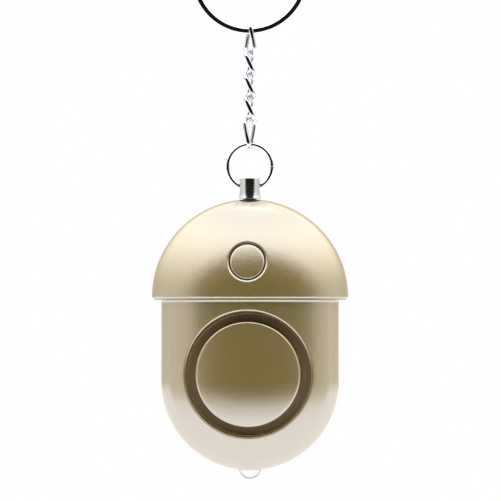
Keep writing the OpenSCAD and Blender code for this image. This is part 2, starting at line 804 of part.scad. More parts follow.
// Self-tapping screw with a crossed head, driven in from the back
module case_screw(place) difference() {
  union() {
    bar_y(place, screw_seat, screw_seat + screw_head_h, screw_head_d);
    bar_y(place, screw_seat - screw_len, screw_seat, screw_d);
  }
  for (turn = [[1, 0], [0, 1]])
    block_y(place, screw_slot_w * [1, 1] + screw_cross_l * turn, screw_slot_y, beyond);
}

module case_screws() color(steel) housing_frame() for (place = screw_places) case_screw(place);

module pin_shank() color(black) housing_frame() {
  bar_z(shank_tip_h + shank_taper, shank_top_h, shank_d);
  bar_z(shank_top_h, shank_top_h + stud_len, stud_d);
  translate([0, 0, shank_tip_h]) cylinder(h = shank_taper, d1 = shank_tip_d, d2 = shank_d);
}

module pin_head() color(steel) difference() {
  union() {
    translate([0, 0, head_low_z]) cylinder(h = pin_head_h - head_edge, d = pin_d);
    translate([0, 0, head_top_z - head_edge]) cylinder(h = head_edge, d1 = pin_d, d2 = pin_d - 2 * head_edge);
  }
  translate([-pin_d, 0, pin_hole_z]) rotate([0, 90, 0]) cylinder(h = 2 * pin_d, r = pin_hole_r);
  translate([0, 0, head_low_z - wall]) cylinder(h = wall + stud_len + seat_fit, d = stud_d + seat_fit);
}

module pin_ring() color(steel) translate([0, 0, pin_ring_z]) difference() {
  rotate([90, 0, 0]) rotate_extrude() translate([pin_ring_r, 0]) circle(d = pin_ring_wire);
  translate([0, -pin_ring_wire, -pin_ring_cut / 2]) cube([2 * pin_ring_r, 2 * pin_ring_wire, pin_ring_cut]);
}

// Swept tube: rings of points joined by triangles, closed on itself or capped
function tube_faces(rings, sides, closed) = concat(
  [for (i = [0 : rings - (closed ? 1 : 2)]) for (k = [0 : sides - 1])
    each let (j = (i + 1) % rings, m = (k + 1) % sides)
      [[i * sides + k, j * sides + k, j * sides + m], [i * sides + k, j * sides + m, i * sides + m]]],
  closed ? [] : [for (k = [1 : sides - 2]) [0, k, k + 1]],
  closed ? [] : [for (k = [1 : sides - 2]) [0, k + 1, k] + (rings - 1) * sides * [1, 1, 1]]);

// Centre line of a link: sideways and height, once round
function half_turn(side, start) = [for (k = [0 : link_arc_rings])
  let (a = start + 180 * k / link_arc_rings) [link_r * cos(a), link_r * sin(a) + side]];

function straight_run(x, side) = [for (k = [1 : link_side_rings])
  [x, side - 2 * side * k / (link_side_rings + 1)]];

function link_path(span) = let (side = span / 2 - link_r) concat(
  half_turn(side, 0), straight_run(-link_r, side), half_turn(-side, 180), straight_run(link_r, -side));

function unit(v) = v / norm(v);

// Link turned about its length from one angle at the bottom to another at the top
module chain_link(i) {
  span = link_span(i);
  angles = link_angles[i];
  path = link_path(span);
  rings = len(path);
  turns = [for (p = path) angles[0] + (angles[1] - angles[0]) * (p[1] / span + 0.5)];
  line = [for (k = [0 : rings - 1]) [path[k][0] * cos(turns[k]), path[k][0] * sin(turns[k]), path[k][1]]];
  points = [for (k = [0 : rings - 1]) let (
      along = unit(line[(k + 1) % rings] - line[(k + rings - 1) % rings]),
      across = unit(cross(along, [-sin(turns[k]), cos(turns[k]), 0])),
      out = cross(across, along))
    for (s = [0 : link_sides - 1]) let (a = 360 * s / link_sides)
      line[k] + link_wire / 2 * (cos(a) * out + sin(a) * across)];
  color(steel) translate([0, 0, link_top(i) - span / 2])
    polyhedron(points, tube_faces(rings, link_sides, true));
}

module chain_link_1() chain_link(0);

module chain_link_2() chain_link(1);

module chain_link_3() chain_link(2);

module chain_link_4() chain_link(3);

module chain_link_5() chain_link(4);

// Key ring: two turns of flat wire, with a ramp where it passes from one to the other
key_turn_rings = key_loop_rings - key_ramp_rings;
key_rings = key_loop_rings + key_turn_rings + 1;
key_half_w = key_wire_w / 2;
key_half_t = key_wire_t / 2;
key_flat_w = key_half_w - key_wire_bevel;
key_flat_t = key_half_t - key_wire_bevel;
key_section = [[key_half_w, key_flat_t], [key_flat_w, key_half_t],
  [-key_flat_w, key_half_t], [-key_half_w, key_flat_t],
  [-key_half_w, -key_flat_t], [-key_flat_w, -key_half_t],
  [key_flat_w, -key_half_t], [key_half_w, -key_flat_t]];
function ramp(t) = t * t * (3 - 2 * t);
function key_ring_y(k) = let (t = min(1, max(0, (k - key_turn_rings) / key_ramp_rings)))
  key_turn_step * (ramp(t) - 0.5);
key_points = [for (k = [0 : key_rings - 1]) let (a = key_start + 360 * k / key_loop_rings)
  for (p = key_section) let (r = key_mean_r + p[0]) [r * cos(a), key_ring_y(k) + p[1], key_z + r * sin(a)]];
key_sides = len(key_section);
key_self_gap = min([for (i = [0 : key_rings - 1]) for (j = [i + key_ramp_rings + 1 : 1 : key_rings - 1])
  for (s = [0 : key_sides - 1]) for (m = [0 : key_sides - 1])
    norm(key_points[i * key_sides + s] - key_points[j * key_sides + m])]);

module key_ring() color(steel) {
  echo("least gap between the key ring's turns", key_self_gap);
  polyhedron(key_points, tube_faces(key_rings, key_sides, false));
}

front_shell();
rear_shell();
siren_cover();
light_button();
switch_plunger();
switch_body();
circuit_board();
piezo_plate();
piezo_ceramic();
piezo_seal();
piezo_wires();
led_lens();
led_leads();
battery_cell_1();
battery_cell_2();
battery_cell_3();
cell_holder();
negative_contact();
positive_contact();
front_cell_link();
rear_cell_link();
boost_coil();
driver_chip();
transistor();
pin_socket();
contact_block();
fixed_contact();
contact_leaf();
case_screws();
pin_shank();
pin_head();
pin_ring();
chain_link_1();
chain_link_2();
chain_link_3();
chain_link_4();
chain_link_5();
key_ring();
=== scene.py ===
import math

import bmesh
import bpy
import numpy as np
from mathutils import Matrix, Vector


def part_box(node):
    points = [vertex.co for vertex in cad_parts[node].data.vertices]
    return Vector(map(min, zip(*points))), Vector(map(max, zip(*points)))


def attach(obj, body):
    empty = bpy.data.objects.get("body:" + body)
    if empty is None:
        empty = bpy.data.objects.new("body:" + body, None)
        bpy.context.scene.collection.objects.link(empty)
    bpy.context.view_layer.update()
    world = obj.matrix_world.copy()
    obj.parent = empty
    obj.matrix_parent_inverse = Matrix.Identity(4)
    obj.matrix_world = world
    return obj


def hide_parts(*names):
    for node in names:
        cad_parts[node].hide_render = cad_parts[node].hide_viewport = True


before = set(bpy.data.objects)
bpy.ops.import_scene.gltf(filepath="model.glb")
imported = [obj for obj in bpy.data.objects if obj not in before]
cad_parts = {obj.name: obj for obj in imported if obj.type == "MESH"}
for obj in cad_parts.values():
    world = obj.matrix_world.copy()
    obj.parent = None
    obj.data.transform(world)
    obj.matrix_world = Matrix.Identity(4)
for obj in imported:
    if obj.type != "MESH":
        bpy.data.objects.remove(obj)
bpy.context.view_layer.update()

mm = 0.001
scene = bpy.context.scene
scene.view_settings.view_transform = "Standard"
print("frame loaded:", len(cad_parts), "solids")


# A node socket that takes part in Python sums, in material, world and geometry trees alike
class Flow:
    def __init__(self, tree, socket=None):
        self.tree = tree
        self.socket = socket

    # any node: its settings first, then the values or links of its sockets
    def node(self, kind, settings=None, values=None, out=0):
        made = self.tree.nodes.new(kind)
        for key, value in (settings or {}).items():
            setattr(made, key, value)
        for key, value in (values or {}).items():
            if isinstance(value, Flow):
                self.tree.links.new(value.socket, made.inputs[key])
            else:
                made.inputs[key].default_value = value
        return Flow(self.tree, made.outputs[out]) if len(made.outputs) else None

    def sum(self, operation, first, second=0.0):
        return self.node("ShaderNodeMath", {"operation": operation}, {0: first, 1: second})

    def __add__(self, other):
        return self.sum("ADD", self, other)

    def __radd__(self, other):
        return self.sum("ADD", other, self)

    def __sub__(self, other):
        return self.sum("SUBTRACT", self, other)

    def __rsub__(self, other):
        return self.sum("SUBTRACT", other, self)

    def __mul__(self, other):
        return self.sum("MULTIPLY", self, other)

    def __rmul__(self, other):
        return self.sum("MULTIPLY", other, self)

    def __truediv__(self, other):
        return self.sum("DIVIDE", self, other)

    def __neg__(self):
        return self.sum("MULTIPLY", self, -1.0)

    # sums of one value, such as its root
    def apply(self, operation):
        return self.sum(operation, self)

    # smooth step from 0 at low to 1 at high
    def ease(self, low, high):
        return self.node("ShaderNodeMapRange", {"interpolation_type": "SMOOTHSTEP"},
                         {"Value": self, "From Min": low, "From Max": high})

    # colour between two others, by this value
    def tint(self, first, second):
        return self.node("ShaderNodeMix", {"data_type": "RGBA"}, {0: self, 6: first, 7: second}, 2)

    def part(self, axis):
        return self.node("ShaderNodeSeparateXYZ", None, {0: self}, axis)


def addObject(name, data):
    made = bpy.data.objects.new(name, data)
    scene.collection.objects.link(made)
    return made


# finishes

def rgb(red, green, blue):
    return (red, green, blue, 1.0)


def startFinish(name):
    material = bpy.data.materials.new(name)
    material.use_nodes = True
    material.node_tree.nodes.clear()
    flow = Flow(material.node_tree)
    return material, flow, flow.node("ShaderNodeTexCoord", out="Object")


def noise(flow, place, scale, detail=2.0, roughness=0.5):
    return flow.node("ShaderNodeTexNoise", None,
                     {"Vector": place, "Scale": scale, "Detail": detail, "Roughness": roughness})


def bump(flow, height, strength, distance):
    return flow.node("ShaderNodeBump", None,
                     {"Height": height, "Strength": strength, "Distance": distance})


def closeFinish(material, flow, sockets):
    shader = flow.node("ShaderNodeBsdfPrincipled", None, sockets)
    flow.node("ShaderNodeOutputMaterial", None, {"Surface": shader})
    return material


goldPaint = {
    "deep": rgb(0.142, 0.102, 0.0194), "light": rgb(0.204, 0.148, 0.0275),
    "flakeScale": 3600.0, "flakeEdge": (0.28, 0.72), "flakeShare": 0.8, "cloudScale": 90.0,
    "roughness": 0.25, "roughSpread": 0.02, "bump": 0.3, "bumpDepth": 0.00002,
    "ior": 2.3, "specular": 1.0, "specularTint": rgb(1.0, 0.945, 0.88),
    # next line's colour and metal share: a brighter, part-metallic copy of the paint for the siren's groove,
    # its light and shade painted in
    "well": rgb(0.5, 0.375, 0.17), "paintedGrooveMetal": 0.6, "wellZ": -98.2789,
    "wellIn": (11.46, 11.6), "wellOut": (13.64, 13.68), "frontFade": (0.0, 1.0),
}


# in the siren's groove, floor and walls, the paint changes to a brighter, part-metallic copy of itself: the
# recess's light and shade painted into its finish
def makeGoldPaint():
    form = goldPaint
    material, flow, place = startFinish("goldPaint")
    flake = noise(flow, place, form["flakeScale"]).ease(*form["flakeEdge"])
    cloud = noise(flow, place, form["cloudScale"], 3.0)
    across, along = place.part(0), place.part(2) - form["wellZ"] * mm
    away = (across * across + along * along).apply("SQRT") / mm
    front = (-place.part(1) / mm).ease(*form["frontFade"])
    # painted light and shade: the mask of the siren's groove, floor and walls, on the front half only
    paintedGrooveMask = front * away.ease(*form["wellIn"]) * (1.0 - away.ease(*form["wellOut"]))
    share = form["flakeShare"]
    paint = (share * flake + (1.0 - share) * cloud).tint(form["deep"], form["light"])
    return closeFinish(material, flow, {
        # the groove's painted light and shade laid over the paint, in colour and metal share
        "Base Color": paintedGrooveMask.tint(paint, form["well"]),
        "Metallic": form["paintedGrooveMetal"] * paintedGrooveMask,
        "Roughness": form["roughness"] + form["roughSpread"] * (flake - 0.5),
        "IOR": form["ior"],
        "Specular IOR Level": form["specular"],
        "Specular Tint": form["specularTint"],
        "Normal": bump(flow, flake, form["bump"], form["bumpDepth"]),
    })


metalWear = {
    "dulled": 0.8, "smearScale": 0.1, "smearEdge": (0.3, 0.75),
    "roughGrain": 0.12, "roughSmear": 0.06, "bumpDepth": 0.00004,
}


def makeMetal(name, colour, roughness, grainScale, stretch, depth):
    form = metalWear
    material, flow, place = startFinish(name)
    drawn = flow.node("ShaderNodeMapping", None, {"Vector": place, "Scale": stretch})
    grain = noise(flow, drawn, grainScale, 3.0)
    smear = noise(flow, place, grainScale * form["smearScale"])
    worn = rgb(*[channel * form["dulled"] for channel in colour[:3]])
    return closeFinish(material, flow, {
        "Base Color": smear.ease(*form["smearEdge"]).tint(colour, worn),
        "Metallic": 1.0,
        "Roughness": roughness + form["roughGrain"] * (grain - 0.5) + form["roughSmear"] * smear,
        "Normal": bump(flow, grain, depth, form["bumpDepth"]),
    })


turnedSteel = {
    "bright": rgb(0.7, 0.71, 0.73), "dull": rgb(0.55, 0.56, 0.58), "ringScale": 900.0, "ringShake": 1.5,
    "smearScale": 700.0, "smearShare": 0.5, "roughness": 0.1, "roughSpread": 0.06,
    "bump": 0.12, "bumpDepth": 0.00003,
}


# fine rings left by the lathe, round the pin's own axis
def makeTurnedSteel():
    form = turnedSteel
    material, flow, place = startFinish("turnedSteel")
    rings = flow.node("ShaderNodeTexWave", {"wave_type": "BANDS", "bands_direction": "Z"},
                      {"Vector": place, "Scale": form["ringScale"],
                       "Distortion": form["ringShake"], "Detail": 2.0})
    smear = noise(flow, place, form["smearScale"], 3.0)
    return closeFinish(material, flow, {
        "Base Color": smear.tint(form["bright"], form["dull"]),
        "Metallic": 1.0,
        "Roughness": form["roughness"] + form["roughSpread"] * rings + form["roughSpread"] * smear,
        "Normal": bump(flow, rings + form["smearShare"] * smear, form["bump"], form["bumpDepth"]),
    })


mouldedGrain = {
    "detail": 4.0, "rough": 0.6, "patchScale": 0.08, "share": 0.5, "roughSpread": 0.15, "bumpDepth": 0.00005,
}


def makeMoulded(name, dark, light, roughness, grainScale, depth):
    form = mouldedGrain
    material, flow, place = startFinish(name)
    grain = noise(flow, place, grainScale, form["detail"], form["rough"])
    patch = noise(flow, place, grainScale * form["patchScale"])
    return closeFinish(material, flow, {
        "Base Color": (form["share"] * grain + (1.0 - form["share"]) * patch).tint(dark, light),
        "Roughness": roughness + form["roughSpread"] * (grain - 0.5),
        "Normal": bump(flow, grain, depth, form["bumpDepth"]),
    })


clearLens = {
    "body": rgb(0.95, 0.955, 0.95), "swirl": rgb(1, 1, 1), "swirlScale": 350.0,
    # rim: painted shade, the dark colour that the lens outline is painted with, and the facing range it
    # fades over
    "rim": rgb(0.16, 0.165, 0.165), "paintedOutlineEdge": (0.25, 0.75),
    "roughness": 0.03, "roughSpread": 0.05, "ior": 1.53,
}


# painted shade: the clear resin's colour darkens towards its outline by facing angle, in place of the dark
# surroundings that its edges bend in
def makeClearLens():
    form = clearLens
    material, flow, place = startFinish("clearLens")
    swirl = noise(flow, place, form["swirlScale"])
    rim = flow.node("ShaderNodeLayerWeight", None, {"Blend": 0.5}, "Facing")
    clear = swirl.tint(form["body"], form["swirl"])
    return closeFinish(material, flow, {
        # painted shade towards the outline, by facing angle
        "Base Color": rim.ease(*form["paintedOutlineEdge"]).tint(clear, form["rim"]),
        "Roughness": form["roughness"] + form["roughSpread"] * swirl,
        "IOR": form["ior"],
        "Transmission Weight": 1.0,
    })


boardGreen = {
    "mask": rgb(0.01, 0.075, 0.03), "track": rgb(0.05, 0.22, 0.09), "trackScale": 260.0, "trackEdge": 0.06,
    "grainScale": 2500.0, "trackShare": 0.8, "roughness": 0.32, "roughSpread": 0.15,
    "bump": 0.4, "bumpDepth": 0.00006,
}


# green mask over etched tracks
def makeBoardGreen():
    form = boardGreen
    material, flow, place = startFinish("boardGreen")
    turnedPlace = flow.node("ShaderNodeMapping", None,
                            {"Vector": place, "Rotation": (math.pi / 2, 0.0, 0.0)})
    tracks = flow.node("ShaderNodeTexBrick", {"offset": 0.5},
                       {"Vector": turnedPlace, "Scale": form["trackScale"],
                        "Mortar Size": form["trackEdge"], "Mortar Smooth": 0.2}, "Fac")
    grain = noise(flow, place, form["grainScale"])
    share = form["trackShare"]
    return closeFinish(material, flow, {
        "Base Color": (share * tracks + (1.0 - share) * grain).tint(form["mask"], form["track"]),
        "Roughness": form["roughness"] + form["roughSpread"] * grain,
        "Normal": bump(flow, tracks, form["bump"], form["bumpDepth"]),
    })


foamBlack = {
    "pit": rgb(0.006, 0.006, 0.007), "skin": rgb(0.035, 0.035, 0.038), "cellScale": 2600.0,
    "roughness": 0.8, "roughSpread": 0.15, "bump": 0.8, "bumpDepth": 0.00015,
}


def makeFoam():
    form = foamBlack
    material, flow, place = startFinish("foamBlack")
    cells = flow.node("ShaderNodeTexVoronoi", {"feature": "F1"},
                      {"Vector": place, "Scale": form["cellScale"]}, "Distance")
    return closeFinish(material, flow, {
        "Base Color": cells.tint(form["pit"], form["skin"]),
        "Roughness": form["roughness"] + form["roughSpread"] * cells,
        "Normal": bump(flow, cells, form["bump"], form["bumpDepth"]),
    })


alike = (1.0, 1.0, 1.0)
finishes = {
    "gold_paint": makeGoldPaint(),
    "chrome_ring": makeMetal("chromeRing", rgb(0.72, 0.73, 0.75), 0.07, 2600.0, alike, 0.04),
    "chain_steel": makeMetal("chainSteel", rgb(0.58, 0.59, 0.61), 0.1, 2200.0, alike, 0.06),
    "turned_steel": makeTurnedSteel(),
    "black_plastic": makeMoulded("blackPlastic", rgb(0.008, 0.008, 0.009), rgb(0.024, 0.024, 0.026),
        0.42, 3200.0, 0.2),
    "clear_lens": makeClearLens(),
    "tinned_lead": makeMetal("tinnedLead", rgb(0.7, 0.71, 0.72), 0.28, 1800.0, (1.0, 1.0, 0.15), 0.1),
    "screw_steel": makeMetal("screwSteel", rgb(0.5, 0.51, 0.53), 0.3, 2400.0, alike, 0.12),
    "board_green": makeBoardGreen(),
    "brass_disc": makeMetal("brassDisc", rgb(0.78, 0.58, 0.26), 0.26, 1500.0, (0.1, 1.0, 1.0), 0.1),
    "ceramic_white": makeMoulded("ceramicWhite", rgb(0.6, 0.6, 0.58), rgb(0.74, 0.74, 0.72),
        0.5, 2600.0, 0.1),
    "foam_black": makeFoam(),
    "wire_jacket": makeMoulded("wireJacket", rgb(0.32, 0.016, 0.014), rgb(0.45, 0.03, 0.025),
        0.4, 1800.0, 0.1),
    "cell_steel": makeMetal("cellSteel", rgb(0.68, 0.68, 0.66), 0.25, 1700.0, (1.0, 0.12, 1.0), 0.08),
    "ferrite_gray": makeMoulded("ferriteGray", rgb(0.05, 0.05, 0.052), rgb(0.1, 0.1, 0.1),
        0.55, 2400.0, 0.3),
}
print("finishes made:", len(finishes))


# mesh helpers, in millimetres

sharpAngle, wireSharpAngle = 38.0, 50.0
weldAt, sliverAt = 0.000002, 0.000001
tiny, onPlane = 1e-9, 1e-6


class SkinMesh:
    def __init__(self):
        self.points = []
        self.faces = []

    def add(self, points):
        start = len(self.points)
        self.points.extend(map(tuple, points))
        return start

    # quads between one row of points and the next
    def sheet(self, rows, closed=True):
        count = len(rows[0])
        starts = [self.add(row) for row in rows]
        for low, high in zip(starts, starts[1:]):
            for k in range(count if closed else count - 1):
                n = (k + 1) % count
                self.faces.append((low + k, low + n, high + n, high + k))

    # closes a ring of points on its middle
    def fan(self, row, middle):
        start = self.add(row)
        tip = self.add([middle])
        for k in range(len(row)):
            self.faces.append((start + k, start + (k + 1) % len(row), tip))

    def piece(self, name):
        mesh = bpy.data.meshes.new(name)
        mesh.from_pydata([tuple(c * mm for c in p) for p in self.points], [], self.faces)
        settle(mesh)
        return addObject(name, mesh)


# merges doubles, turns faces outwards and marks the sharp edges
def settle(mesh, sharpAt=sharpAngle):
    work = bmesh.new()
    work.from_mesh(mesh)
    bmesh.ops.remove_doubles(work, verts=work.verts, dist=weldAt)
    bmesh.ops.dissolve_degenerate(work, edges=work.edges, dist=sliverAt)
    bmesh.ops.recalc_face_normals(work, faces=work.faces)
    for face in work.faces:
        face.smooth = True
    limit = math.radians(sharpAt)
    for edge in work.edges:
        edge.smooth = len(edge.link_faces) == 2 and edge.calc_face_angle(0.0) < limit
    work.to_mesh(mesh)
    work.free()


def curveRows(start, corner, end, steps):
    return [(1 - t) ** 2 * start + 2 * t * (1 - t) * corner + t * t * end
            for t in np.linspace(0, 1, steps + 1)]


def lineRows(start, end, steps):
    return [start + (end - start) * t for t in np.linspace(0, 1, steps + 1)]


def ring(radius, place, axis, count):
    a = np.linspace(0, 2 * math.pi, count, endpoint=False)
    cos, sin = np.cos(a), np.sin(a)
    flat = {"x": (None, cos, sin), "y": (cos, None, sin), "z": (cos, sin, None)}[axis]
    return np.stack([np.full(count, c) if f is None else c + radius * f for c, f in zip(place, flat)], 1)


# a turned piece: radius and place along its axis, from one end to the other
def turned(name, profile, place, axis, count):
    step = {"x": (1, 0, 0), "y": (0, 1, 0), "z": (0, 0, 1)}[axis]
    rows = [ring(r, np.array(place) + np.array(step) * along, axis, count) for r, along in profile]
    mesh = SkinMesh()
    mesh.sheet(rows)
    mesh.fan(rows[0], rows[0].mean(0))
    mesh.fan(rows[-1], rows[-1].mean(0))
    return mesh.piece(name)


# corners of a profile rounded off, by less than half of each side
def rounded(points, radius, steps=4, sideShare=0.45):
    out = [points[0]]
    for before, here, after in zip(points, points[1:], points[2:]):
        before, here, after = map(np.array, (before, here, after))
        reach = [min(radius, sideShare * np.linalg.norm(p - here)) for p in (before, after)]
        first = here + (before - here) / np.linalg.norm(before - here) * reach[0]
        last = here + (after - here) / np.linalg.norm(after - here) * reach[1]
        out += [tuple(p) for p in curveRows(first, here, last, steps)]
    return out + [points[-1]]


# a closed block between two rows of four corners
def block(name, low, high):
    mesh = SkinMesh()
    mesh.sheet([low, high])
    mesh.faces += [(0, 1, 2, 3), (4, 5, 6, 7)]
    return mesh.piece(name)


def carve(piece, cutter, operation):
    tool = piece.modifiers.new("carve", "BOOLEAN")
    tool.operation, tool.solver, tool.object = operation, "EXACT", cutter
    bakeShape(piece)
    bpy.data.objects.remove(cutter)


def bakeShape(piece):
    graph = bpy.context.evaluated_depsgraph_get()
    mesh = bpy.data.meshes.new_from_object(piece.evaluated_get(graph), depsgraph=graph)
    piece.modifiers.clear()
    piece.data = mesh


# flat faces keep their own normals beside small rounds, then the finish and the frame
def handOver(piece, body, nodes, slot):
    even = piece.modifiers.new("even", "WEIGHTED_NORMAL")
    even.keep_sharp = True
    bakeShape(piece)
    piece.data.materials.clear()
    piece.data.materials.append(finishes[slot])
    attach(piece, body)
    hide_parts(*nodes)


# housing

capForm = {"halfWidth": 21.5, "halfDepth": 11.0, "edge": 6.0}
bodyForm = {"halfWidth": 19.4, "halfDepth": 9.6, "edge": 5.5, "straight": 18.3}
shellForm = {
    "wall": 1.5, "seamEase": 0.1, "rimRound": 0.5, "neckRound": 0.65, "rimDrop": 0.3, "land": 0.18,
    "pole": 0.8, "arcSteps": 128, "rimSteps": 144, "sideSteps": 30, "bottomSteps": 116,
    "domeRows": 48, "bodyRows": 46, "innerRows": 14, "roundRows": 7, "landRows": 3,
}
wellForm = {
    "h": -16.7, "radius": 13.65, "edgeRound": 0.55, "wall": 1.2, "floorRound": 0.5,
    "floorFront": -4.2, "floorBack": -3.2, "soundHole": 3.0, "holeRound": 0.2, "wallRows": 4, "holeRows": 3,
}
buttonForm = {
    "h": 7.7, "radius": 3.75, "hole": 4.05, "proud": 0.15, "edgeRound": 0.34,
    "recessWide": 0.4, "recessDeep": 0.17, "recessEase": 0.25,
    "guide": 5.15, "guideEnd": -6.6, "flange": 4.95, "flangeFront": -6.4, "flangeBack": -5.6,
    "stem": 1.5, "stemEnd": -4.45, "sides": 96, "faceRows": 14,
}
coverForm = {
    "radius": 11.42, "edgeRound": 0.45, "back": -5.8, "backRound": 0.2, "backRows": 3,
    "sides": 160, "faceRows": 30,
    "leg": 1.2, "legCircle": 7.6, "legTurns": (45, 135, 225, 315), "legSink": 0.5, "legSides": 32,
}
screwForm = {
    "upper": (13.3, 6.5), "lower": (10.677, -28.977), "seat": 3.2,
    "head": 1.6, "headDepth": 1.2, "headRound": 0.35, "crown": 0.1, "shaft": 0.85, "length": 6.0,
    "point": 0.15, "pointLong": 0.9, "slotWide": 0.5, "slotLong": 2.1, "slotDeep": 0.6, "slotOver": 0.5,
    "sides": 40,
    "boss": 2.5, "bossEnd": 0.25, "bossSink": 0.8, "counterbore": 1.7, "through": 0.95,
    "boreFrom": -1.0, "boreTo": 12.0, "boreSides": 48,
}
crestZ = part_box("front_shell")[1].z / mm
rimZ = crestZ - capForm["halfWidth"]


# The oval section of the housing, measured along its surface from the middle of the front
class Oval:
    def __init__(self, form, grow):
        self.edge = form["edge"] + grow
        self.flatHalf = form["halfWidth"] - form["edge"]
        halfDepth = form["halfDepth"] + grow
        self.halfWidth = form["halfWidth"] + grow
        self.crown = (self.flatHalf ** 2 + halfDepth ** 2 - self.edge ** 2) / (2 * (halfDepth - self.edge))
        self.sink = halfDepth - self.crown
        self.lean = math.asin(self.flatHalf / (self.crown - self.edge))
        self.turn = self.crown * self.lean
        self.span = self.turn + self.edge * (math.pi / 2 - self.lean)
        self.straight = form.get("straight")

    def section(self, along):
        onCrown = along < self.turn
        angle = np.where(onCrown, along / self.crown, self.lean + (along - self.turn) / self.edge)
        radius = np.where(onCrown, self.crown, self.edge)
        reach = np.where(onCrown, 0.0, self.flatHalf) + radius * np.sin(angle)
        depth = np.where(onCrown, self.sink, 0.0) + radius * np.cos(angle)
        return reach, depth

    def length(self, reach):
        crownAngle = np.arcsin(np.clip(reach / self.crown, -1, 1))
        edgeAngle = np.arcsin(np.clip((reach - self.flatHalf) / self.edge, -1, 1))
        onCrown = reach < self.crown * math.sin(self.lean)
        return np.where(onCrown, self.crown * crownAngle, self.turn + self.edge * (edgeAngle - self.lean))

    # the part of a height that turns about the form's centre: all of it on the cap
    def drop(self, height):
        return height if self.straight is None else np.minimum(height + self.straight, 0.0)

    def scaled(self, flat, ratioOf):
        across, height = flat[..., 0], flat[..., 1]
        drop = self.drop(height)
        away = np.hypot(across, drop)
        ratio = np.where(away > tiny, ratioOf(away) / np.maximum(away, tiny), 1.0)
        return np.stack([across * ratio, height + drop * (ratio - 1.0)], -1), away

    def unroll(self, flat):
        return self.scaled(flat, self.length)[0]

    def lay(self, unrolled):
        placed, along = self.scaled(unrolled, lambda away: self.section(away)[0])
        return np.stack([placed[..., 0], -self.section(along)[1], placed[..., 1]], -1)

    def face(self, flat):
        return self.lay(self.unroll(flat))


def circle(radius, height, angles):
    return np.stack([radius * np.cos(angles), height + radius * np.sin(angles)], -1)


# a ring of points round a height, level at a depth
def levelRow(radius, height, depth, angles):
    flat = circle(radius, height, angles)
    return np.stack([flat[:, 0], np.full(len(flat), depth), flat[:, 1]], 1)


# unit normals of a level row, in its own plane
def outwards(row):
    along = np.gradient(row[:, :2], axis=0)
    normal = np.stack([along[:, 1], -along[:, 0], np.zeros(len(row))], 1)
    normal /= np.linalg.norm(normal, axis=1)[:, None]
    normal[0], normal[-1] = (-1, 0, 0), (1, 0, 0)
    return normal


# one skin of a half shell: cap, rim and body as rows of points, and its outline in the parting plane
class HalfSkin:
    def __init__(self, inset, capHole, bodyHole, capRows, bodyRows):
        form = shellForm
        cap, body = Oval(capForm, -inset), Oval(bodyForm, -inset)
        ledge = inset - form["rimDrop"]
        rimH = ledge + form["rimRound"]
        steps = np.linspace(-1, 1, form["rimSteps"] + 1)
        reach, depth = cap.section(np.abs(steps) * cap.span)
        shrink = math.sqrt(cap.halfWidth ** 2 - rimH ** 2) / cap.halfWidth
        rimFlat = cap.unroll(np.stack([np.sign(steps) * reach * shrink, np.full(len(steps), rimH)], -1))
        startAngle = math.asin(rimH / cap.halfWidth)
        arc = np.linspace(startAngle, math.pi - startAngle, form["arcSteps"] + 1)
        capLoop = np.concatenate([circle(cap.span, 0.0, arc), rimFlat[1:-1]])
        neckTop = ledge - form["land"]
        neckLow = neckTop - form["neckRound"]
        neckFlat = np.stack([steps * body.span, np.full(len(steps), neckLow)], -1)
        sides = np.linspace(neckLow, -body.straight, form["sideSteps"] + 1)[1:]
        left = np.stack([np.full(len(sides), -body.span), sides], -1)
        halfTurn = np.linspace(math.pi, 2 * math.pi, form["bottomSteps"] + 1)
        bottom = circle(body.span, -body.straight, halfTurn)[1:]
        right = left[::-1][1:] * (-1, 1)
        bodyLoop = np.concatenate([neckFlat[::-1], left, bottom, right])
        self.cap, self.body = cap, body
        self.capRows, self.capAngles = self.spread(cap, capLoop, buttonForm["h"], capHole, capRows)
        self.bodyRows, self.bodyAngles = self.spread(body, bodyLoop, wellForm["h"], bodyHole, bodyRows)

        rim = cap.lay(rimFlat)
        rimOut = outwards(rim)
        corner = rim * (1, 1, 0) + (0, 0, ledge)
        under = corner - rimOut * form["rimRound"]
        neckReach, neckDepth = body.section(np.abs(steps) * body.span)
        landEnd = under - (0, 0, form["land"])
        neck = np.stack([np.sign(steps) * neckReach, -neckDepth, np.full(len(steps), neckTop)], 1)
        neckStart = neck + outwards(neck) * form["neckRound"]
        neckEnd = neck - (0, 0, form["neckRound"])
        self.rimRows = (curveRows(rim, corner, under, form["roundRows"])
                        + lineRows(landEnd, neckStart, form["landRows"])[:-1]
                        + curveRows(neckStart, neck, neckEnd, form["roundRows"]))
        bodyStart = form["rimSteps"]
        for rows in (self.capRows, self.bodyRows, self.rimRows):
            for row in rows:
                row[np.abs(row[:, 1]) < onPlane, 1] = 0.0
        self.outline = np.concatenate([
            self.capRows[-1][:form["arcSteps"] + 1],
            [row[0] for row in self.rimRows[1:-1]],
            self.bodyRows[-1][bodyStart:], self.bodyRows[-1][:1],
            [row[-1] for row in self.rimRows[-2:0:-1]]])

    # rows from a hole's edge out to the skin's border, straight on the unrolled surface
    def spread(self, oval, border, height, hole, rows):
        middle = oval.unroll(np.array([0.0, height]))
        angles = np.arctan2(*(border - middle).T[::-1])
        inner = oval.unroll(circle(hole, height, angles))
        return [oval.lay(inner + (border - inner) * t) for t in np.linspace(0, 1, rows + 1)], angles


def toFrame(rows, side):
    return [row * (1, side, 1) + (0, 0, rimZ) for row in rows]


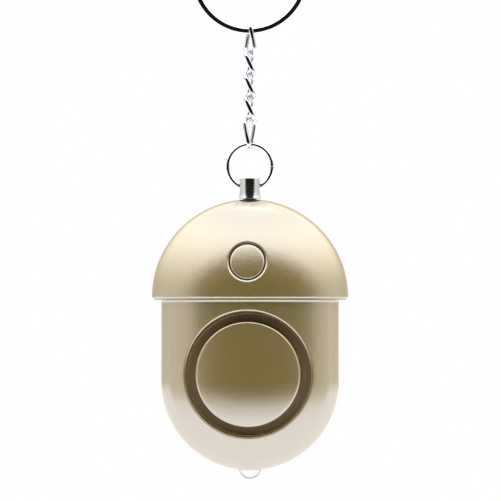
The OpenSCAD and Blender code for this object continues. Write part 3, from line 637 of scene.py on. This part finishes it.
# side is 1 for the front half and -1 for the back
def makeShell(name, side):
    form, button, well = shellForm, buttonForm, wellForm
    front = side > 0
    holes = [form["pole"]] * 4
    if front:
        holes = [button["hole"] + button["recessWide"], well["radius"] + well["edgeRound"],
                 button["guide"], well["radius"] + well["wall"]]
    outer = HalfSkin(0.0, *holes[:2], form["domeRows"], form["bodyRows"])
    inner = HalfSkin(form["wall"], *holes[2:], form["innerRows"], form["innerRows"])

    # the seam: the outer edge is eased back from the parting plane
    seam = outer.outline.copy()
    along = np.roll(seam, -1, 0) - np.roll(seam, 1, 0)
    inwards = np.stack([-along[:, 2], np.zeros(len(seam)), along[:, 0]], 1)
    seam += inwards / np.linalg.norm(inwards, axis=1)[:, None] * form["seamEase"]
    for rows in (outer.capRows, outer.bodyRows, outer.rimRows):
        for row in rows:
            row[row[:, 1] == 0.0, 1] = -form["seamEase"]
    edge = outer.outline - (0, form["seamEase"], 0)

    mesh = SkinMesh()
    for skin in (outer, inner):
        mesh.sheet(toFrame(skin.capRows, side))
        mesh.sheet(toFrame(skin.bodyRows, side))
        mesh.sheet(toFrame(skin.rimRows, side), closed=False)
    mesh.sheet(toFrame([edge, seam, inner.outline], side))

    if not front:
        for skin in (outer, inner):
            for oval, rows, height in ((skin.cap, skin.capRows, button["h"]),
                                       (skin.body, skin.bodyRows, well["h"])):
                mesh.fan(*toFrame([rows[0], oval.face(np.array([0.0, height]))], side))
        return mesh.piece(name)

    # the button's recess and guide
    lip = outer.cap.face(circle(button["hole"], button["h"], outer.capAngles))
    wallTop = lip + (0, button["recessDeep"], 0)
    ease = outer.capRows[0] * (1 - button["recessEase"]) + lip * button["recessEase"]
    guideIn = lip * (1, 0, 1) + (0, button["guideEnd"], 0)
    guideOut = levelRow(button["guide"], button["h"], button["guideEnd"], inner.capAngles)
    mesh.sheet(toFrame(curveRows(outer.capRows[0], ease, wallTop, form["roundRows"])
                       + [guideIn, guideOut, inner.capRows[0]], side))

    # the siren's well, its floor with the sound hole, and the cup behind it
    lip = outer.body.face(circle(well["radius"], well["h"], outer.bodyAngles))
    wallTop = lip + (0, well["edgeRound"], 0)

    def level(radius, depth, angles=outer.bodyAngles):
        return levelRow(radius, well["h"], depth, angles)

    radius, floor, rounding = well["radius"], well["floorFront"], well["floorRound"]
    hole, holeRound = well["soundHole"], well["holeRound"]
    wallEnd = level(radius, floor - rounding)
    rows = curveRows(outer.bodyRows[0], lip, wallTop, form["roundRows"])
    rows += lineRows(wallTop, wallEnd, well["wallRows"])[1:-1]
    rows += curveRows(wallEnd, level(radius, floor), level(radius - rounding, floor), form["roundRows"])
    rows += curveRows(level(hole + holeRound, floor), level(hole, floor), level(hole, floor + holeRound),
                      well["holeRows"])
    rows += [level(hole, well["floorBack"]),
             level(radius + well["wall"], well["floorBack"], inner.bodyAngles), inner.bodyRows[0]]
    mesh.sheet(toFrame(rows, side))
    return mesh.piece(name)


screwPlaces = [(sideways * x, h) for x, h in (screwForm["upper"], screwForm["lower"])
               for sideways in (-1, 1)]
pinHole = {"radius": 2.65, "low": 19.0, "high": 23.0, "flare": ((0.0, -0.24), (0.036, -0.06), (0.18, 0.06))}
lightHole = {
    "radius": 2.6, "low": -40.0, "high": -34.0,
    "brow": (2.85, -37.55), "browTop": (4.38, -35.52), "browCore": 0.5, "browRise": 0.5, "browRound": 0.1,
}
holeSides, farOut = 64, 40.0


# the part of a piece in front of the parting plane
def halfOf(piece):
    corners = ((-farOut, -farOut), (farOut, -farOut), (farOut, 0.0), (-farOut, 0.0))
    row = np.array([(x, -farOut, rimZ + h) for x, h in corners])
    carve(piece, block("slab", row, row + (0, farOut - shellForm["seamEase"], 0)), "INTERSECT")
    return piece


# the pin's hole with its flare, the light's hole, and the brow over it on the front half
def cutHoles(shell, side):
    def upright(name, profile):
        return turned(name, profile, (0, 0, rimZ), "z", holeSides)

    r, flare = pinHole["radius"], pinHole["flare"]
    profile = [(r, pinHole["low"]), *[(r + wider, capForm["halfWidth"] + h) for wider, h in flare],
               (r + flare[-1][0], pinHole["high"])]
    carve(shell, upright("pinHole", profile), "DIFFERENCE")
    if side > 0:
        (low, lowH), (high, highH) = lightHole["brow"], lightHole["browTop"]
        profile = [(lightHole["browCore"], lowH), (low, lowH), (high, highH),
                   (high, highH + lightHole["browRise"])]
        carve(shell, halfOf(upright("brow", rounded(profile, lightHole["browRound"]))), "UNION")
    r = lightHole["radius"]
    carve(shell, upright("lightHole", [(r, lightHole["low"]), (r, lightHole["high"])]), "DIFFERENCE")


acornFront = makeShell("acornFront", 1)
cutHoles(acornFront, 1)
settle(acornFront.data)
handOver(acornFront, "housing", ["front_shell"], "gold_paint")

acornBack = makeShell("acornBack", -1)
bodyOval, capOval = Oval(bodyForm, 0.0), Oval(capForm, 0.0)


def carveBack(name, profile, x, h, operation):
    carve(acornBack, turned(name, profile, (x, 0, rimZ + h), "y", screwForm["boreSides"]), operation)


boss, bore, through, seat = [screwForm[part] for part in ("boss", "counterbore", "through", "seat")]
for x, h in screwPlaces:
    skin = -(capOval if h > 0 else bodyOval).face(np.array([x, h]))[1]
    carveBack("boss", [(boss, screwForm["bossEnd"]), (boss, skin - screwForm["bossSink"])], x, h, "UNION")
for x, h in screwPlaces:
    profile = [(through, screwForm["boreFrom"]), (through, seat), (bore, seat), (bore, screwForm["boreTo"])]
    carveBack("bore", profile, x, h, "DIFFERENCE")
cutHoles(acornBack, -1)
settle(acornBack.data)
handOver(acornBack, "housing", ["rear_shell"], "gold_paint")
print("housing made:", len(acornFront.data.polygons), len(acornBack.data.polygons), "faces")


# the siren cover and the light button
discForm = {"core": 0.4, "edgeRows": 6, "sideRows": 3}


# rows of a disc that follows the housing's face, with a rounded edge and a side down to a depth
def discRows(form, oval, height, depth):
    radius, edgeRound = form["radius"], form["edgeRound"]
    turns = np.linspace(0, 2 * math.pi, form["sides"], endpoint=False)
    reach = np.linspace(radius - edgeRound, discForm["core"], form["faceRows"])[::-1]
    rows = [oval.face(circle(r, height, turns)) for r in reach]
    lip = oval.face(circle(radius, height, turns))
    side = lip + (0, edgeRound, 0)
    end = lip * (1, 0, 1) + (0, depth, 0)
    rows += curveRows(rows[-1], lip, side, discForm["edgeRows"])[1:]
    return rows + lineRows(side, end, discForm["sideRows"])[1:], turns


def closeDisc(name, rows, oval, height):
    mesh = SkinMesh()
    mesh.sheet(toFrame(rows, 1))
    mesh.fan(*toFrame([rows[0], oval.face(np.array([0.0, height]))], 1))
    mesh.fan(*toFrame([rows[-1], rows[-1].mean(0)], 1))
    return mesh.piece(name)


def makeCover():
    form, height, back = coverForm, wellForm["h"], coverForm["back"]
    rows, turns = discRows(form, bodyOval, height, back - form["backRound"])
    backLip = rows[-1] + (0, form["backRound"], 0)
    backRow = levelRow(form["radius"] - form["backRound"], height, back, turns)
    rows += curveRows(rows[-1], backLip, backRow, form["backRows"])[1:]
    cover = closeDisc("sirenCover", rows, bodyOval, height)
    for turn in form["legTurns"]:
        a = math.radians(turn)
        place = (form["legCircle"] * math.cos(a), 0, rimZ + height + form["legCircle"] * math.sin(a))
        profile = [(form["leg"], back - form["legSink"]), (form["leg"], wellForm["floorFront"])]
        carve(cover, turned("leg", profile, place, "y", form["legSides"]), "UNION")
    settle(cover.data)
    return cover


def makeButton():
    form, height = buttonForm, buttonForm["h"]
    oval = Oval(capForm, form["proud"])
    rows, turns = discRows(form, oval, height, form["flangeFront"])
    rows += [levelRow(form[part], height, form[depth], turns) for part, depth in (
        ("flange", "flangeFront"), ("flange", "flangeBack"), ("stem", "flangeBack"), ("stem", "stemEnd"))]
    return closeDisc("lightButton", rows, oval, height)


handOver(makeCover(), "housing", ["siren_cover"], "gold_paint")
handOver(makeButton(), "light_button", ["light_button"], "gold_paint")
print("siren cover and button made")


# pull pin and light

pinForm = {
    "low": -60.2, "high": -55.6789, "foot": 2.5, "waist": 2.3, "top": 2.4, "edgeRound": 0.1,
    "waistZ": -58.3, "footEase": 0.9, "flankRows": 6, "crown": 0.9, "core": 0.3, "sides": 96,
    "holeZ": -57.5793, "hole": 0.9, "holeFlare": 0.14, "holeEnd": 3.0, "holeSides": 48,
    "stud": 1.05, "studDepth": 1.2,
}
shankForm = {
    "studTop": 22.7, "top": 21.5, "low": 11.2, "stud": 1.0, "radius": 1.5, "taperTop": 13.6, "tip": 1.05,
    "core": 0.2, "collar": 2.45, "collarTop": 21.36, "collarLow": 20.5, "edgeRound": 0.08, "sides": 64,
}


def makePinHead():
    form = pinForm
    low, high, waist = form["low"], form["high"], form["waist"]
    corners = ((form["foot"], low), (waist, low + form["footEase"]), (waist, form["waistZ"]))
    flank = curveRows(*map(np.array, corners), form["flankRows"])
    side = [(form["stud"], low), *map(tuple, flank), (form["top"], high), (form["crown"], high)]
    profile = [(form["stud"], low + form["studDepth"])] + rounded(side, form["edgeRound"])
    head = turned("pinHead", profile + [(form["core"], high)], (0, 0, 0), "z", form["sides"])
    hole, flare = form["hole"], form["holeFlare"]
    half = [(hole, waist - 2 * flare), (hole + flare, waist), (hole + 3 * flare, form["holeEnd"])]
    bore = [(r, -along) for r, along in half[::-1]] + half
    carve(head, turned("crossHole", bore, (0, 0, form["holeZ"]), "x", form["holeSides"]), "DIFFERENCE")
    settle(head.data)
    return head


def makePinShank():
    form = shankForm
    profile = [(form[part], form[height]) for part, height in (
        ("stud", "studTop"), ("stud", "top"), ("radius", "top"), ("radius", "collarTop"),
        ("collar", "collarTop"), ("collar", "collarLow"), ("radius", "collarLow"),
        ("radius", "taperTop"), ("tip", "low"), ("core", "low"))]
    return turned("pinShank", rounded(profile, form["edgeRound"]), (0, 0, rimZ), "z", form["sides"])


handOver(makePinHead(), "pull_pin", ["pin_head"], "turned_steel")
handOver(makePinShank(), "pull_pin", ["pin_shank"], "black_plastic")

lightForm = {
    "tip": -39.6, "radius": 2.5, "collar": 2.9, "collarLow": -32.0, "collarHigh": -31.0,
    "domeFrom": 0.05, "domeRows": 20, "core": 0.4, "edgeRound": 0.15, "sides": 72,
}
leadForm = {
    "half": 0.25, "bevel": 0.05, "bevelSteps": 2,
    "post": ((-1.52, -25.5), (-1.02, -25.5), (-1.02, -31.6), (-0.55, -32.4), (-0.55, -34.0), (-1.52, -34.0)),
    "anvil": ((1.02, -25.5), (1.52, -25.5), (1.52, -34.6), (1.05, -35.3), (0.75, -35.3), (0.55, -34.8),
              (0.15, -34.8), (-0.05, -35.3), (-0.3, -35.3), (-0.3, -33.0), (0.4, -31.9), (1.02, -31.4)),
}


def makeLens():
    form, radius, collar = lightForm, lightForm["radius"], lightForm["collar"]
    low, high = form["collarLow"], form["collarHigh"]
    dome = [(radius * math.sin(a), form["tip"] + radius - radius * math.cos(a))
            for a in np.linspace(form["domeFrom"], math.pi / 2, form["domeRows"])]
    side = [dome[-1], (radius, low), (collar, low), (collar, high), (form["core"], high)]
    profile = dome + rounded(side, form["edgeRound"])[1:]
    return turned("lightLens", profile, (0, 0, rimZ), "z", form["sides"])


# two stamped posts, the wider one with the cup that holds the chip
def makeLeadFrame():
    form, half = leadForm, leadForm["half"]
    work = bmesh.new()
    for part in ("post", "anvil"):
        face = work.faces.new([work.verts.new((x * mm, -half * mm, (rimZ + h) * mm)) for x, h in form[part]])
        pushed = bmesh.ops.extrude_face_region(work, geom=[face])["geom"]
        moved = [v for v in pushed if isinstance(v, bmesh.types.BMVert)]
        bmesh.ops.translate(work, verts=moved, vec=(0, 2 * half * mm, 0))
    bmesh.ops.bevel(work, geom=list(work.edges), offset=form["bevel"] * mm, segments=form["bevelSteps"],
                    affect="EDGES", clamp_overlap=True)
    mesh = bpy.data.meshes.new("leadFrame")
    work.to_mesh(mesh)
    work.free()
    settle(mesh)
    return addObject("leadFrame", mesh)


handOver(makeLens(), "housing", ["led_lens"], "clear_lens")
handOver(makeLeadFrame(), "housing", ["led_leads"], "tinned_lead")
print("pull pin and light made")


# chain, rings and screws by Geometry Nodes

# a tree with named inputs; build gets them as flows and gives back the last geometry
def makeTree(name, inputs, build):
    tree = bpy.data.node_groups.new(name, "GeometryNodeTree")
    sockets = [("Shape", "OUTPUT", "Geometry"), ("Start", "INPUT", "Geometry")]
    sockets += [(label, "INPUT", "Float") for label in inputs] + [("Finish", "INPUT", "Material")]
    for label, way, kind in sockets:
        tree.interface.new_socket(name=label, in_out=way, socket_type=f"NodeSocket{kind}")
    entry = tree.nodes.new("NodeGroupInput")
    given = {socket.name: Flow(tree, socket) for socket in entry.outputs if socket.name}
    flow = Flow(tree)
    shape = build(flow, given)
    shape = flow.node("GeometryNodeSetShadeSmooth", None, {"Geometry": shape})
    shape = flow.node("GeometryNodeRealizeInstances", None, {"Geometry": shape})
    shape = flow.node("GeometryNodeSetMaterial", None, {"Geometry": shape, "Material": given["Finish"]})
    tree.links.new(shape.socket, tree.nodes.new("NodeGroupOutput").inputs[0])
    return tree


# lengths in millimetres and turns in degrees, by the names of the tree's inputs
def growPiece(name, tree, lengths, turns, body, nodes, slot, start=None):
    values = {label: length * mm for label, length in lengths.items()}
    values.update((label, math.radians(turn)) for label, turn in turns.items())
    values["Finish"] = finishes[slot]
    piece = addObject(name, start or bpy.data.meshes.new(name))
    grower = piece.modifiers.new("grow", "NODES")
    grower.node_group = tree
    for item in tree.interface.items_tree:
        if item.in_out == "INPUT" and item.name in values:
            grower[item.identifier] = values[item.name]
    bakeShape(piece)
    settle(piece.data, wireSharpAngle)
    handOver(piece, body, nodes, slot)


def vector(flow, x, y, z):
    return flow.node("ShaderNodeCombineXYZ", None, {0: x, 1: y, 2: z})


linkForm = {"Wire": 1.0, "Bend": 1.8, "Flat": 2.16}
linkSteps = {"bend": 96, "loop": 144, "wire": 32, "offMiddle": 0.0000001}
# low and high end of each link, and the turns there
linkRows = (
    (-28.6597, -21.6597, 135, 90), (-33.5597, -27.5597, 135, 45), (-38.4597, -32.4597, 135, 45),
    (-43.3597, -37.3597, 135, 45), (-49.2597, -42.2597, 90, 45),
)


# a closed link: a circle pulled apart into two bends, twisted along its height, pressed flat front and back
def buildLink(flow, given):
    half = (given["High"] - given["Low"]) * 0.5
    loop = flow.node("GeometryNodeCurvePrimitiveCircle", None,
                     {"Resolution": linkSteps["bend"], "Radius": given["Bend"]})
    at = flow.node("GeometryNodeInputPosition")
    upper = (at.part(1) + linkSteps["offMiddle"]).apply("SIGN")
    pulled = vector(flow, at.part(0), 0.0, at.part(1) + upper * (half - given["Bend"]))
    loop = flow.node("GeometryNodeSetPosition", None, {"Geometry": loop, "Position": pulled})
    loop = flow.node("GeometryNodeResampleCurve", None, {"Curve": loop, "Count": linkSteps["loop"]})
    height = at.part(2)
    turn = given["Low turn"] + (given["High turn"] - given["Low turn"]) * (height / (half * 2.0) + 0.5)
    twisted = vector(flow, at.part(0) * turn.apply("COSINE"), at.part(0) * turn.apply("SINE"),
                     height + (given["High"] + given["Low"]) * 0.5)
    loop = flow.node("GeometryNodeSetPosition", None, {"Geometry": loop, "Position": twisted})
    wire = flow.node("GeometryNodeCurvePrimitiveCircle", None,
                     {"Resolution": linkSteps["wire"], "Radius": given["Wire"] * 0.5})
    link = flow.node("GeometryNodeCurveToMesh", None, {"Curve": loop, "Profile Curve": wire})
    pressed = flow.sum("MINIMUM", flow.sum("MAXIMUM", at.part(1), -given["Flat"]), given["Flat"])
    return flow.node("GeometryNodeSetPosition", None,
                     {"Geometry": link, "Position": vector(flow, at.part(0), pressed, at.part(2))})


# soft-edged wire along a flat curve, stood up at its height
def standWire(flow, given, curve, wide, thick, cornerSteps):
    curve = flow.node("GeometryNodeSetCurveNormal", {"mode": "Z_UP"}, {"Curve": curve})
    wire = flow.node("GeometryNodeCurvePrimitiveQuadrilateral", None, {"Width": wide, "Height": thick})
    wire = flow.node("GeometryNodeFilletCurve", {"mode": "POLY"},
                     {"Curve": wire, "Radius": given["Round"], "Count": cornerSteps, "Limit Radius": True})
    shape = flow.node("GeometryNodeCurveToMesh", None,
                      {"Curve": curve, "Profile Curve": wire, "Fill Caps": True})
    return flow.node("GeometryNodeTransform", None, {
        "Geometry": shape, "Rotation": (math.pi / 2, 0, 0),
        "Translation": vector(flow, 0.0, 0.0, given["Height"])})


pinRingForm = {"Radius": 4.85, "Wire": 0.76, "Round": 0.24, "Cut": 0.06, "Height": -53.1097}
pinRingSteps = {"loop": 160, "corner": 6}


# a ring of square wire, cut through at the right
def buildOpenRing(flow, given):
    gap = given["Cut"] / given["Radius"]
    loop = flow.node("GeometryNodeCurveArc", {"mode": "RADIUS"}, {
        "Resolution": pinRingSteps["loop"], "Radius": given["Radius"],
        "Start Angle": gap * 0.5, "Sweep Angle": 2 * math.pi - gap})
    return standWire(flow, given, loop, given["Wire"], given["Wire"], pinRingSteps["corner"])


keyRingForm = {"Radius": 12.1, "Wide": 1.4, "Thick": 0.9, "Round": 0.34, "Step": 1.35, "Height": -11.4}
keyRingTurns = {"Start angle": 90.0, "Travel": 675.0, "Ramp start": 315.0, "Ramp length": 45.0}
keyRingSteps = {"loop": 420, "corner": 5}


# two turns of flat wire with a ramp between them
def buildSplitRing(flow, given):
    count = keyRingSteps["loop"]
    line = flow.node("GeometryNodeMeshLine", None, {"Count": count})
    line = flow.node("GeometryNodeMeshToCurve", None, {"Mesh": line})
    travel = flow.node("GeometryNodeInputIndex") * (1.0 / (count - 1)) * given["Travel"]
    angle = given["Start angle"] + travel
    ramp = ((travel - given["Ramp start"]) / given["Ramp length"]).ease(0.0, 1.0)
    place = vector(flow, given["Radius"] * angle.apply("COSINE"), given["Radius"] * angle.apply("SINE"),
                   given["Step"] * (0.5 - ramp))
    line = flow.node("GeometryNodeSetPosition", None, {"Geometry": line, "Position": place})
    return standWire(flow, given, line, given["Wide"], given["Thick"], keyRingSteps["corner"])


# one screw set in four places
def buildScrews(flow, given):
    index = flow.node("GeometryNodeInputIndex")
    lower = flow.sum("GREATER_THAN", index, 1.5)
    sideways = flow.sum("MODULO", index, 2.0) * 2.0 - 1.0
    x = sideways * (given["Upper x"] + lower * (given["Lower x"] - given["Upper x"]))
    z = given["Upper z"] + lower * (given["Lower z"] - given["Upper z"])
    points = flow.node("GeometryNodePoints", None,
                       {"Count": len(screwPlaces), "Position": vector(flow, x, given["Seat"], z)})
    return flow.node("GeometryNodeInstanceOnPoints", None, {"Points": points, "Instance": given["Start"]})


linkTree = makeTree("twistedLink", [*linkForm, "Low", "High", "Low turn", "High turn"], buildLink)
for k, (low, high, lowTurn, highTurn) in enumerate(linkRows, 1):
    growPiece(f"twistedLink{k}", linkTree, {**linkForm, "Low": low, "High": high},
              {"Low turn": lowTurn, "High turn": highTurn}, f"link_{k}", [f"chain_link_{k}"], "chain_steel")
openRingTree = makeTree("openRing", pinRingForm, buildOpenRing)
growPiece("pinRing", openRingTree, pinRingForm, {}, "pin_ring", ["pin_ring"], "chrome_ring")
splitRingTree = makeTree("splitRing", [*keyRingForm, *keyRingTurns], buildSplitRing)
growPiece("splitRing", splitRingTree, keyRingForm, keyRingTurns, "key_ring", ["key_ring"], "chrome_ring")


# one screw standing on its seat along +Y, with a cross slot
def makeScrew():
    form = screwForm
    head, high, shaft, crown = form["head"], form["headDepth"], form["shaft"], form["crown"]
    tip = -form["length"]
    profile = [(form["point"], tip), (shaft, tip + form["pointLong"]), (shaft, 0.0)]
    side = [(head, 0.0), (head, high - crown), (head / 2, high), (crown, high)]
    profile += rounded(side, form["headRound"])
    screw = turned("screw", profile, (0, 0, 0), "y", form["sides"])
    wide, long = form["slotWide"] / 2, form["slotLong"] / 2
    for x, z in ((wide, long), (long, wide)):
        corners = ((-x, -z), (x, -z), (x, z), (-x, z))
        low, top = [np.array([(a, y, b) for a, b in corners])
                    for y in (high - form["slotDeep"], high + form["slotOver"])]
        carve(screw, block("slot", low, top), "DIFFERENCE")
    settle(screw.data)
    mesh = screw.data
    bpy.data.objects.remove(screw)
    return mesh


(upperX, upperH), (lowerX, lowerH) = screwForm["upper"], screwForm["lower"]
screwInputs = {
    "Upper x": upperX, "Upper z": rimZ + upperH, "Lower x": lowerX, "Lower z": rimZ + lowerH,
    "Seat": screwForm["seat"],
}
screwTree = makeTree("caseScrews", screwInputs, buildScrews)
growPiece("caseScrews", screwTree, screwInputs, {}, "housing", ["case_screws"], "screw_steel", makeScrew())
print("chain, rings and screws made")


# works inside: the solids stay, in their finishes

innerWorks = {
    "black_plastic": ["pin_socket", "cell_holder", "contact_block", "switch_plunger", "driver_chip",
                      "transistor"],
    "tinned_lead": ["negative_contact", "positive_contact", "front_cell_link", "rear_cell_link"],
    "screw_steel": ["switch_body"],
    "board_green": ["circuit_board"],
    "brass_disc": ["piezo_plate", "fixed_contact", "contact_leaf"],
    "ceramic_white": ["piezo_ceramic"],
    "foam_black": ["piezo_seal"],
    "wire_jacket": ["piezo_wires"],
    "cell_steel": ["battery_cell_1", "battery_cell_2", "battery_cell_3"],
    "ferrite_gray": ["boost_coil"],
}
for slot, nodes in innerWorks.items():
    for node in nodes:
        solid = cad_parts[node]
        solid.data.materials.clear()
        solid.data.materials.append(finishes[slot])
print("inner solids finished:", sum(map(len, innerWorks.values())))


# floor, light and camera

stageForm = {
    "floorZ": -0.30, "front": -0.42, "back": 4.0, "side": 3.0, "patchScale": 6.0, "roughness": 0.9,
    "colour": rgb(0.82, 0.85, 0.94), "patch": rgb(0.84, 0.87, 0.96),
}


def makeFloor():
    form = stageForm
    mesh = bpy.data.meshes.new("floor")
    corners = [(-form["side"], form["front"]), (form["side"], form["front"]),
               (form["side"], form["back"]), (-form["side"], form["back"])]
    mesh.from_pydata([(x, y, form["floorZ"]) for x, y in corners], [], [(0, 1, 2, 3)])
    floor = addObject("floor", mesh)
    material, flow, place = startFinish("paleFloor")
    mesh.materials.append(material)
    closeFinish(material, flow, {
        "Base Color": noise(flow, place, form["patchScale"]).tint(form["colour"], form["patch"]),
        "Roughness": form["roughness"],
    })


# a white room with a dim oval opening towards the camera, as round a studio camera
roomForm = {
    "front": 0.01, "side": 1.0, "back": 0.86, "rear": 1.1,
    "top": 2.85, "beam": 2.5, "roof": 3.5, "bottom": 1.38,
    "bounce": rgb(0.97, 1.01, 1.13), "wall": rgb(1.0, 0.97, 0.88),
    "sky": rgb(0.98, 1.0, 1.06), "skyAt": (0.5, 0.9), "openFront": (0.0, 0.2),
    "openWide": 0.78, "openHigh": 0.585, "openLow": 0.28, "openMiddle": 0.023, "openEdge": (0.85, 1.15),
    "sideAt": (-0.3, 0.4), "backAt": (0.55, 0.95), "rearAt": (0.62, 0.97), "topAt": (0.05, 0.7),
    "beamAt": (0.78, 0.9), "roofAt": (0.95, 0.99), "bottomAt": (0.1, 0.66),
}


def makeRoom():
    form = roomForm
    world = bpy.data.worlds.new("whiteRoom")
    scene.world = world
    world.use_nodes = True
    world.node_tree.nodes.clear()
    flow = Flow(world.node_tree)
    towards = flow.node("ShaderNodeTexCoord", out="Generated")
    across, ahead, up = towards.part(0) - form["openMiddle"], -towards.part(1), towards.part(2)
    level = form["back"] + (form["side"] - form["back"]) * ahead.ease(*form["sideAt"])
    for wall, where in (("top", up), ("beam", up), ("roof", up),
                        ("bottom", -up), ("back", -ahead), ("rear", -ahead)):
        level = level + (form[wall] - level) * where.ease(*form[wall + "At"])
    below = (-up).ease(*form["bottomAt"])
    colour = below.tint(up.ease(*form["skyAt"]).tint(form["wall"], form["sky"]), form["bounce"])
    wide = across / form["openWide"]
    high = flow.sum("MAXIMUM", up / form["openHigh"], -up / form["openLow"])
    opening = (1.0 - (wide * wide + high * high).ease(*form["openEdge"])) * ahead.ease(*form["openFront"])
    level = level + (form["front"] - level) * opening
    direct = flow.node("ShaderNodeLightPath", out="Is Camera Ray")
    through = flow.node("ShaderNodeLightPath", out="Is Transmission Ray")
    seen = flow.sum("MAXIMUM", direct, through)
    light = flow.node("ShaderNodeBackground", None, {"Color": colour, "Strength": level})
    white = flow.node("ShaderNodeBackground", None, {"Color": rgb(1, 1, 1), "Strength": 1.0})
    flow.node("ShaderNodeOutputWorld", None,
              {"Surface": flow.node("ShaderNodeMixShader", None, {0: seen, 1: light, 2: white})})


cameraForm = {
    "azimuth": 3.5, "elevation": -1.2, "distance": 0.9, "aim": (0.00012, 0.0, -0.07145),
    "lens": 296.0, "sensor": 36.0, "clip": 0.01,
}


def makeCamera():
    data = bpy.data.cameras.new("camera")
    data.lens, data.sensor_width, data.clip_start = [cameraForm[part] for part in ("lens", "sensor", "clip")]
    camera = addObject("camera", data)
    turn, lift = math.radians(cameraForm["azimuth"]), math.radians(cameraForm["elevation"])
    far = cameraForm["distance"]
    x, y, z = cameraForm["aim"]
    level = far * math.cos(lift)
    camera.location = (x + level * math.sin(turn), y - level * math.cos(turn), z + far * math.sin(lift))
    camera.rotation_euler = (math.pi / 2 - lift, 0.0, turn)
    scene.camera = camera


makeFloor()
makeRoom()
makeCamera()
print("floor, light and camera set")
